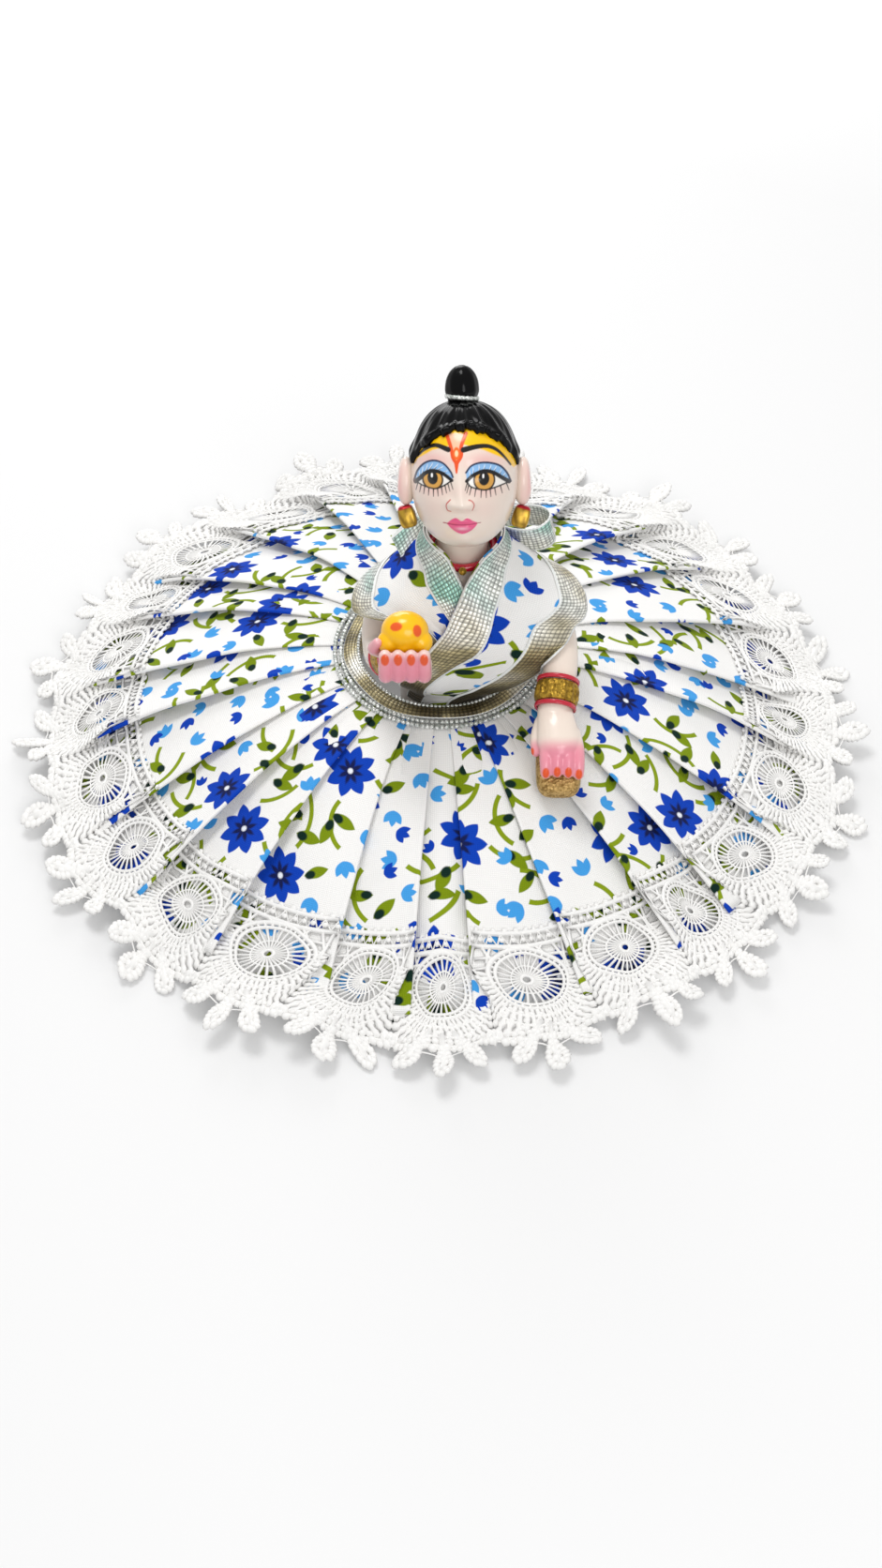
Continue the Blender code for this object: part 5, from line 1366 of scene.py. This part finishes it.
earring = {"half": (2.45, 2.6, 3.3), "spot": (16.3, 2.0, -12.2), "lean": 15.0, "lobes": 7, "gold": "c09a34",
           "groove": "6d4d12", "top": "b3172b"}
necklace = {"centre": (6.0, -5.0, 85.5), "radius": 9.4, "tube": 1.2, "pendant": (6.0, -17.1, 86.7), "bead": 1.2}


def makeEarring(name, side):
    points, faces = ball(np.zeros(3), np.array(earring["half"]), 40, 24, 4.0)
    turn = np.arctan2(points[:, 1], points[:, 0])
    points[:, :2] *= (1 + 0.03 * np.cos(turn * earring["lobes"]) - 0.06 * ease(points[:, 2], 0.5, 2.5))[:, None]
    colours = coat(earring["gold"], len(points))
    blendColour(colours, 0.7 * ease(np.cos(turn * earring["lobes"] + points[:, 2]), 0.2, -0.8), earring["groove"])
    blendColour(colours, ease(points[:, 2], 2.1, 2.6), earring["top"])
    points = turned(points, "Y", earring["lean"] * side) + np.array(earring["spot"]) * (side, 1, 1)
    piece = solidPiece(name, fromHead(points), faces)
    colourPoints(piece, colours)
    return piece


def makeNecklace():
    points, faces = ringShape(necklace["radius"], necklace["tube"])
    return solidPiece("necklaceBand", points + np.array(necklace["centre"]), faces)


def makePendant():
    return solidPiece("necklacePendant", *ball(np.array(necklace["pendant"]), np.full(3, necklace["bead"]), 24, 14))


place(makeHead(), "figure", "white_marble", stone, "head")
place(makeHair(), "figure", "black_hair", hairPaint, "hair_cap")
place(makeTopknot(), "figure", "black_hair", hairPaint, "topknot")
place(makeTopknotBand(), "figure", "silver_band", silver, "topknot_band")
for label, side in (("Right", -1), ("Left", 1)):
    place(makeEarring("earring" + label, side), "figure", "gold_paint", earringGold, "earring_" + label.lower())
place(makeNecklace(), "figure", "red_enamel", red, "necklace_band")
place(makePendant(), "figure", "gold_paint", gold, "necklace_pendant")
print("head ready")

# Body and arms

body = {
    "sections": [(5, 3, 2, 15, 14), (18, 3, 1, 16, 15), (30, 3.2, -2, 14.5, 13.5), (40, 3.5, -5, 14.5, 13),
                 (52, 4.5, -6, 18, 13.5), (64, 5.5, -6.5, 21, 14), (72, 6, -6, 21, 13.5), (78, 6, -5.5, 16.5, 11),
                 (82, 6, -5, 10.5, 9), (84, 6, -5, 8, 8)],  # height, middle, half width and depth
    "knee": (8.0, -9.5, 8.5), "foot": (14.0, 6.0), "hip": (16.0, 6.0, 9.0), "middle": 3.5, "floorGap": 0.05,
    "voxel": 0.8, "nail": "e0521f", "pink": "e5899c", "skin": "ebdccf",
}
arms = {
    "left": [(17, -6.5, 64, 6), (26.5, -7, 65.5, 6.8), (33.5, -13.5, 61.5, 5.8), (35.4, -25, 58, 5.2),
             (33.4, -39.5, 51, 4.9)],  # point and radius, shoulder to wrist
    "right": [(-5, -6.5, 64, 6), (-14, -7, 65, 6.8), (-18, -10.5, 59, 6), (-18.5, -15, 55, 5.6),
              (-17.5, -22.5, 57, 5.2), (-12.5, -32.5, 66.5, 4.9)],
    "leftPalm": [(33.4, -38.5, 51.4), (33.8, -44.0, 50.4), (34.4, -49.0, 48.2)], "leftPalmRadii": (5.1, 6.6),
    "palmFlat": 0.7, "leftFingers": [(30.4, 0.5), (33.7, 0.0), (37.0, 0.2), (40.1, 1.0)],  # place across, drop
    "leftFingerRadii": (2.3, 1.6), "leftFingerPink": 8.0, "leftNail": (1.05, 1.4, 1.8),
    "leftThumb": [(29.6, -42.5, 49.4), (28.0, -46.6, 47.6), (27.7, -50.6, 45.6)], "leftThumbRadii": (2.4, 1.5),
    "leftThumbPink": ((27.7, -50.4, 45.6), 4.6), "leftThumbNail": ((26.4, -51.4, 46.4), (0.7, 1.5, 1.2)),
    "rightPalm": (-10.6, -38.0, 72.0), "rightPalmHalf": (7.4, 7.2, 4.0), "fingerStep": 3.7,
    "rightFinger": [(0, -1.0, -1.0), (0, -6.2, -0.8), (0, -8.0, 3.0), (0, -7.2, 8.2)],  # from the palm
    "rightFingerRadii": (2.3, 1.9), "rightFingerPink": ((0, -8.0, 3.4), 8.5),
    "rightNail": ((0, -9.0, 8.3), (1.25, 1.4, 1.9)),
    "rightThumb": [(-5.9, 2.0, 0.6), (-9.0, -1.2, 5.0), (-7.8, -3.0, 9.4)], "rightThumbRadii": (2.2, 1.4),
    "rightThumbPink": ((-8.6, -3.5, 8.0), 5.5), "voxel": 0.36,
}


def makeTrunk():
    turn = fullTurn(48)
    rings = []
    for z, x, y, wide, deep in body["sections"]:
        rings.append(np.stack([x + wide * np.cos(turn), y + deep * np.sin(turn), np.full(48, float(z))], -1))
    shapes = [closedRings(rings)]
    for side in (-1, 1):
        spread, kneeY, kneeR = body["knee"]
        hipZ, hipY, hipR = body["hip"]
        footY, footR = body["foot"]
        x = body["middle"] + side * spread
        shapes.append(sweep(smoothLine([(x, hipY, hipZ), (x, kneeY, kneeR - 0.6), (x, footY, footR - 0.6)], 6),
                            np.interp(np.arange(13), (0, 6, 12), (hipR, kneeR, footR)), 24))
    piece = fuse(addPiece("trunkPiece", *joinShapes(shapes)), body["voxel"], 6)
    points = meshPoints(piece)
    points[:, 2] = np.maximum(points[:, 2], body["floorGap"])  # cut flat underneath
    setPoints(piece, points)
    colourPoints(piece, coat(body["skin"], len(points)))
    return piece


def handColours(points, fingers, nails):
    colours = coat(body["skin"], len(points))
    for centre, reach in fingers:
        gap = np.linalg.norm(points - np.array(centre), axis=1)
        blendColour(colours, 0.75 * ease(-gap, -reach, -reach * 0.35), body["pink"])
    for centre, half in nails:
        blendColour(colours, spotMask(points, centre, half), body["nail"])
    return colours


def makeFinger(path, radii):
    line = smoothLine(path, 5)
    return sweep(line, np.linspace(*radii, len(line)), 16)


def makeArm(name, joints, shapes, fingers, nails):
    line = smoothLine(joints, 8)
    shapes = [sweep(line[:, :3], line[:, 3], 28)] + shapes
    piece = fuse(addPiece(name, *joinShapes(shapes)), arms["voxel"], 4)
    colourPoints(piece, handColours(meshPoints(piece), fingers, nails))
    return piece


def makeLeftArm():
    palm = smoothLine(arms["leftPalm"], 5)
    shapes = [sweep(palm, np.linspace(*arms["leftPalmRadii"], len(palm)), 28, arms["palmFlat"])]
    fingers, nails = [], []
    for x, drop in arms["leftFingers"]:
        path = [(x * 0.75 + 8.6, -46.0, 48.8), (x * 0.95 + 1.7, -51.0, 48.4 - drop), (x, -54.9, 46.4 - drop),
                (x, -57.2, 44.0 - drop)]
        shapes.append(makeFinger(path, arms["leftFingerRadii"]))
        fingers.append(((x, -55.2, 46.4), arms["leftFingerPink"]))
        nails.append(((x, -58.2, 45.2 - drop), arms["leftNail"]))
    shapes.append(makeFinger(arms["leftThumb"], arms["leftThumbRadii"]))
    fingers.append(arms["leftThumbPink"])
    nails.append(arms["leftThumbNail"])
    return makeArm("armLeft", arms["left"], shapes, fingers, nails)


def makeRightArm():
    palm = np.array(arms["rightPalm"])
    shapes = [ball(palm, np.array(arms["rightPalmHalf"]), 28, 14)]
    pink, pinkReach = arms["rightFingerPink"]
    nail, nailHalf = arms["rightNail"]
    fingers, nails = [], []
    for k in range(4):
        root = palm + ((k - 1.5) * arms["fingerStep"], 0, 0)
        shapes.append(makeFinger(root + arms["rightFinger"], arms["rightFingerRadii"]))
        fingers.append((root + pink, pinkReach))
        nails.append((root + nail, nailHalf))
    shapes.append(makeFinger(palm + arms["rightThumb"], arms["rightThumbRadii"]))
    thumbPink, thumbReach = arms["rightThumbPink"]
    fingers.append((palm + thumbPink, thumbReach))
    return makeArm("armRight", arms["right"], shapes, fingers, nails)


sweet = {
    "lumps": [((0, 0, 5.2), (6.9, 6.0, 5.7)), ((-4.6, -2.6, 3.4), (3.4, 3.4, 3.3)), ((0, -3.6, 3.2), (3.4, 2.8, 3.1)),
              ((4.6, -2.6, 3.4), (3.4, 3.4, 3.3)), ((0, 1.0, 2.9), (7.0, 5.4, 2.8))],
    "seeds": [((-2.4, -2.8, 9.6), (1.9, 1.3, 1.3)), ((3.6, -3.4, 8.6), (1.3, 1.6, 1.9))],
    "foot": (-10.6, -36.5, 76.4), "voxel": 0.35, "yellow": "f7bd00", "shade": "e79a12", "seed": "e4581c",
}


def makeSweet():
    foot = np.array(sweet["foot"])
    shapes = [ball(foot + c, np.array(h), 28, 16) for c, h in sweet["lumps"]]
    piece = fuse(addPiece("sweetBall", *joinShapes(shapes)), sweet["voxel"], 3)
    points = meshPoints(piece)
    colours = coat(sweet["yellow"], len(points))
    # painted shade: darker orange low on the sweet, where it sits in the hand
    blendColour(colours, 0.5 * ease(-points[:, 2], -foot[2] - 2.6, -foot[2]), sweet["shade"])
    for centre, half in sweet["seeds"]:
        blendColour(colours, spotMask(points, foot + centre, half), sweet["seed"])
    colourPoints(piece, colours)
    return piece


block = {"x": 34.6, "half": 6.7, "ends": (-59.0, -41.3), "top": (39.4, 45.2), "foot": (32.7, 35.9),  # front and back
         "power": 3.6}


def makeBlock():
    turn = fullTurn(48)
    rings = []
    for share in np.sin(np.linspace(-math.pi / 2, math.pi / 2, 30)) * 0.5 + 0.5:
        y, top, foot = [np.interp(share, (0, 1), block[label]) for label in ("ends", "top", "foot")]
        tight = max(1 - abs(2 * share - 1) ** block["power"], 1e-5) ** (1 / block["power"])
        x = block["x"] + block["half"] * tight * boxy(np.cos(turn), block["power"])
        z = (top + foot) / 2 + (top - foot) / 2 * tight * boxy(np.sin(turn), block["power"])
        rings.append(np.stack([x, np.full(48, y), z], -1))
    return solidPiece("handBlock", *closedRings(rings))


bangle = {
    "start": 0.8, "rim": 1.3, "gap": 0.3, "band": 6.2, "clear": 0.5, "thick": 0.85, "scallops": 16, "relief": 0.35,
    "profile": [(0.0, -0.5), (0.0, 0.5), (0.6, 0.5), (0.95, 0.42), (1.0, 0.2), (1.0, 0.0), (1.0, -0.2), (0.95, -0.42),
                (0.6, -0.5)],  # share of the thickness, share of the width
}


def makeBangle(name, joints, start, wide, relief):
    wrist, before = np.array(joints[-1]), np.array(joints[-2])
    ahead = before[:3] - wrist[:3]
    length = np.linalg.norm(ahead)
    ahead = ahead / length
    share = (start + wide / 2) / length
    radius = wrist[3] + (before[3] - wrist[3]) * share + bangle["clear"]
    centre = wrist[:3] + ahead * (start + wide / 2)
    across = unit(np.cross(ahead, (0.0, 0.0, 1.0)))
    up = np.cross(ahead, across)
    rings = []
    for angle in fullTurn(96):
        lift = 1 + relief * math.cos(angle * bangle["scallops"])
        out = across * math.cos(angle) + up * math.sin(angle)
        rings.append([centre + ahead * wide * b + out * (radius + bangle["thick"] * a * (lift if abs(b) < 0.3 else 1.0))
                      for a, b in bangle["profile"]])
    return solidPiece(name, *closedRings(rings, True))


place(makeTrunk(), "figure", "white_marble", stone, "trunk")
place(makeLeftArm(), "figure", "white_marble", stone, "arm_left")
place(makeRightArm(), "figure", "white_marble", stone, "arm_right")
place(makeSweet(), "figure", "yellow_sweet", stone, "sweet_ball")
place(makeBlock(), "figure", "gold_paint", glitter, "hand_block")
for side in ("left", "right"):
    at = bangle["start"]
    for part, wide, relief, slot, material in (("lower_rim", bangle["rim"], 0.0, "red_enamel", red),
                                               ("band", bangle["band"], bangle["relief"], "gold_paint", gold),
                                               ("upper_rim", bangle["rim"], 0.0, "red_enamel", red)):
        piece = makeBangle("bangle." + side + "." + part, arms[side], at, wide, relief)
        place(piece, "figure", slot, material, "bangle_" + side + "_" + part)
        at += wide + bangle["gap"]
print("body ready")

# Scarf

scarf = {
    "sections": [(34, 3.6, -5, 14.5, 14, 2.2), (39.5, 3.9, -5, 15.4, 14.6, 2.2), (44, 4.6, -5.3, 21, 16.5, 2.3),
                 (50, 5.6, -6, 28, 19, 2.5), (58, 7, -7, 33, 20, 2.7), (65, 7.2, -8, 33, 19.4, 2.7),
                 (72, 7, -8, 27, 17, 2.5), (77, 6.5, -7, 21.6, 15, 2.4), (81, 6.3, -6, 17.4, 13.6, 2.2),
                 (84, 6.2, -5.2, 14.4, 12.4, 2.1), (88, 6.2, -4.8, 11.2, 11, 2),
                 (92, 6.3, -4.8, 10.3, 10.2, 2)],  # height, middle, half width and depth, squareness
    "over": [(-52, 34, 20, 34), (-44, 42, 25, 41), (-27, 55, 31, 50), (-13, 66, 39, 60), (-5, 76.5, 59, 65.5),
             (1, 82.6, 78, 65), (14, 87.5, 92, 64.5), (34, 91.5, 108, 66), (90, 92.5, 135, 69),
             (180, 91, 180, 72)],  # bearing and height of the inner edge, then of the outer edge
    "under": [(270, 92.5, 226, 69), (326, 91.5, 254, 66), (346, 87.5, 271, 64.8), (359, 82.6, 290, 67.5),
              (365, 76.5, 314, 70.2), (373, 66, 336, 71), (380, 55, 354, 60), (388, 42, 348, 44), (392, 34, 345, 35)],
    "wide": 32.0, "seat": 0.3, "stack": 2.2, "thick": 0.45, "armGap": 0.6, "printShift": (9.0, 4.0),
    "trimShare": 0.28, "trimFront": [0.4, 0.4, 0.42, 0.42, 0.4, 0.36, 0.32, 0.3, 0.28],  # of the width, row by row
    "trimWide": 9.0, "trimLift": 0.75, "trimThick": 0.4, "trimThread": 0.55, "trimColumns": 10,
    "steps": 220, "columns": 30,
}


def tableAt(table, keys):  # a smooth curve through the rows of a table
    table = np.asarray(table, float)
    keys = np.clip(keys, table[0, 0], table[-1, 0])
    k = np.clip(np.searchsorted(table[:, 0], keys) - 1, 0, len(table) - 2)
    low, high = table[k], table[k + 1]
    before, after = table[np.maximum(k - 1, 0)], table[np.minimum(k + 2, len(table) - 1)]
    span = high[..., :1] - low[..., :1]
    t = (keys[..., None] - low[..., :1]) / span
    slopeLow = (high - before) / (high[..., :1] - before[..., :1]) * span
    slopeHigh = (after - low) / (after[..., :1] - low[..., :1]) * span
    values = (low * (2 * t**3 - 3 * t**2 + 1) + slopeLow * (t**3 - 2 * t**2 + t) + high * (3 * t**2 - 2 * t**3)
              + slopeHigh * (t**3 - t**2))
    return values[..., 1:]


def drapePoint(bearing, height):
    x, y, wide, deep, square = np.moveaxis(tableAt(scarf["sections"], height), -1, 0)
    turn = np.radians(bearing)
    across, along = boxy(np.sin(turn), square), boxy(np.cos(turn), square)
    return np.stack([x + wide * across, y - deep * along, height + 0 * x], -1)


def drapeOut(bearing, height):
    turn = drapePoint(bearing + 0.5, height) - drapePoint(bearing - 0.5, height)
    rise = drapePoint(bearing, height + 0.5) - drapePoint(bearing, height - 0.5)
    return unit(np.cross(turn, rise))


def clearArms(points, gap):  # the cloth lies over the shoulders
    for side in ("left", "right"):
        line = smoothLine(arms[side][:4], 4)
        for first, last in zip(line[:-1], line[1:]):
            ahead = last[:3] - first[:3]
            share = np.clip((points - first[:3]) @ ahead / (ahead @ ahead), 0, 1)
            near = first[:3] + share[..., None] * ahead
            away = points - near
            far = np.linalg.norm(away, axis=-1)
            reach = first[3] + (last[3] - first[3]) * share + gap
            pushed = near + away * (reach / np.maximum(far, 0.01))[..., None]
            points = np.where((far < reach)[..., None], pushed, points)
    return points


def scarfGrid(start, stop, columns, above):
    table = [(float(k),) + row for k, row in enumerate(scarf["over"] + scarf["under"])]
    along = np.linspace(0, 1, scarf["steps"] + 1)
    innerA, innerZ, outerA, outerZ = np.moveaxis(tableAt(table, along * table[-1][0]), -1, 0)
    start = np.broadcast_to(start, along.shape)[:, None]
    share = start + (stop - start) * np.linspace(0, 1, columns + 1)[None]
    bearing = innerA[:, None] + (outerA - innerA)[:, None] * share
    height = innerZ[:, None] + (outerZ - innerZ)[:, None] * share
    lift = scarf["seat"] + scarf["stack"] * (1 - ease(along, 0.3, 0.5))[:, None] + above
    folds = 0.35 * np.sin(share * 9 + along[:, None] * 14) + 0.2 * np.sin(share * 21 - along[:, None] * 31)
    folds = folds * np.sin(np.pi * np.clip(share, 0.02, 0.98)) if above < 0.1 else folds * 0.3
    points = drapePoint(bearing, height) + drapeOut(bearing, height) * (lift + np.abs(folds))[..., None]
    points = clearArms(points, scarf["armGap"] + above)
    return points, runLength(points[:, columns // 2])


def makeScarf():
    points, length = scarfGrid(0.0, 1.0, scarf["columns"], 0.0)
    across = np.linspace(0, scarf["wide"], scarf["columns"] + 1)[None]
    uv = flatMap(length[:, None] + scarf["printShift"][0], across + scarf["printShift"][1])
    return clothPiece("scarfCloth", points, uv, scarf["thick"], 1.0), length[-1]


def makeTrim(name, start, stop):
    points, length = scarfGrid(start, stop, scarf["trimColumns"], scarf["trimLift"])
    uv = flatMap(length[:, None], np.linspace(0, scarf["trimWide"], scarf["trimColumns"] + 1)[None])
    return clothPiece(name, points, uv, scarf["trimThick"], 1.0)


trimTinsel = tinselMaterial("trimTinsel", scarf["trimWide"], scarf["trimThread"])
scarfCloth, scarfLength = makeScarf()
place(scarfCloth, "figure", "printed_cotton", printedCotton, "scarf_cloth")
scarfRows = np.linspace(0, len(scarf["over"] + scarf["under"]) - 1, scarf["steps"] + 1)
outerStart = 1 - np.interp(scarfRows, np.arange(len(scarf["trimFront"])), scarf["trimFront"])
for name, node, start, stop in (("scarfTrimInner", "scarf_trim_inner", 0.0, scarf["trimShare"]),
                                ("scarfTrimOuter", "scarf_trim_outer", outerStart, 1.0)):
    place(makeTrim(name, start, stop), "figure", "metallic_ribbon", trimTinsel, node)
scarfLength * mm
print("scarf ready", round(sheetArea(scarfCloth) / (scarf["wide"] * scarfLength * mm * mm), 3))

# Bow

bow = {
    "wide": 9.0, "cut": 10.0, "thick": 0.4, "knot": (6.0, 5.0, 9.0), "tail": 24.0, "spread": 6.0, "columns": 10,
    "hang": {1: (25.0, 15.0, 6, 24, 13, 0.0),
             -1: (25.0, 4.0, -50, 42, 8, 6.5)},  # length, opening, lean, swing, rise, arch
}


def bowMiddle():
    low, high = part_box("bow_knot")
    return np.array((low + high) / 2) / mm


def makeKnot():
    points, faces = ball(np.zeros(3), np.array(bow["knot"]) / 2, 32, 20, 4.0)
    points[:, 1] *= 1 + 0.06 * np.sin(points[:, 0] * 4)  # gathered
    piece = addPiece("bowKnot", points + bowMiddle(), faces)
    layer = piece.data.uv_layers.new(name="flat")
    corners = np.empty(len(piece.data.loops), int)
    piece.data.loops.foreach_get("vertex_index", corners)
    flat = points[corners][:, (2, 0)] + np.array((0.0, bow["wide"] / 2))
    layer.data.foreach_set("uv", flat.astype(np.float32).ravel())
    return turnOut(piece)


def makeLoop(name, side):
    length, opening, lean, swing, rise, arch = bow["hang"][side]
    turn = fullTurn(80)[:, None]
    across = np.linspace(-1, 1, bow["columns"] + 1)[None]
    share = (1 + np.cos(turn)) / 2  # 0 at the knot
    gape = opening / 2 * np.sin(turn) * (0.3 + 0.7 * share)
    tall = bow["wide"] / 2 * (0.78 + 0.22 * share) * across
    twist = math.radians(lean) * share**0.6
    x = length * share + 0.25 * np.sin(turn * 3) * across
    y = gape * np.cos(twist) - tall * np.sin(twist)
    z = gape * np.sin(twist) + tall * np.cos(twist) + arch * np.sin(np.pi * share**0.8)
    points = turned(turned(np.stack(np.broadcast_arrays(x, y, z), -1), "Y", -rise), "Z", -swing)
    points = points * (side, 1, 1) + bowMiddle() + (side * (bow["knot"][0] / 2 - 0.6), 0, 0)
    middle = points[:, bow["columns"] // 2]
    around = runLength(np.vstack([middle, middle[:1]]))
    uv = flatMap(around[:, None], (across + 1) * bow["wide"] / 2)
    return clothPiece(name, points, uv, bow["thick"], wrapRows=True), around[-1]


def makeTail(name, side):
    middle = bowMiddle()
    share = np.linspace(0, 1, 30)[:, None]
    across = np.linspace(-1, 1, bow["columns"] + 1)[None]
    half = bow["wide"] / 2 * (0.5 + 0.5 * np.minimum(share * 2, 1))
    x = middle[0] + side * (bow["wide"] * 0.3 + bow["spread"] * share) + across * half
    y = middle[1] + side * 0.9 + 1.2 * np.sin(share * np.pi * 1.5) + 0.3 * np.cos(across * 3)
    z = middle[2] - bow["wide"] / 2 + 0.8 - (bow["tail"] + 1.0) * share
    z = z + side * across * half * 0.25 * ease(share, 0.8, 1.0)  # the end is cut on the slant
    points = np.stack(np.broadcast_arrays(x, y, z), -1)
    return clothPiece(name, points, flatMap(share * bow["tail"], (across + 1) * bow["wide"] / 2), bow["thick"])


place(makeKnot(), "figure", "metallic_ribbon", trimTinsel, "bow_knot")
for label, side in (("Right", -1), ("Left", 1)):
    loop, loopLength = makeLoop("bowLoop" + label, side)
    place(loop, "figure", "metallic_ribbon", trimTinsel, "bow_loop_" + label.lower())
    loopLength * mm
for label, side in (("Right", -1), ("Left", 1)):
    tail = makeTail("bowTail" + label, side)
    place(tail, "figure", "metallic_ribbon", trimTinsel, "bow_tail_" + label.lower())
print("bow ready")
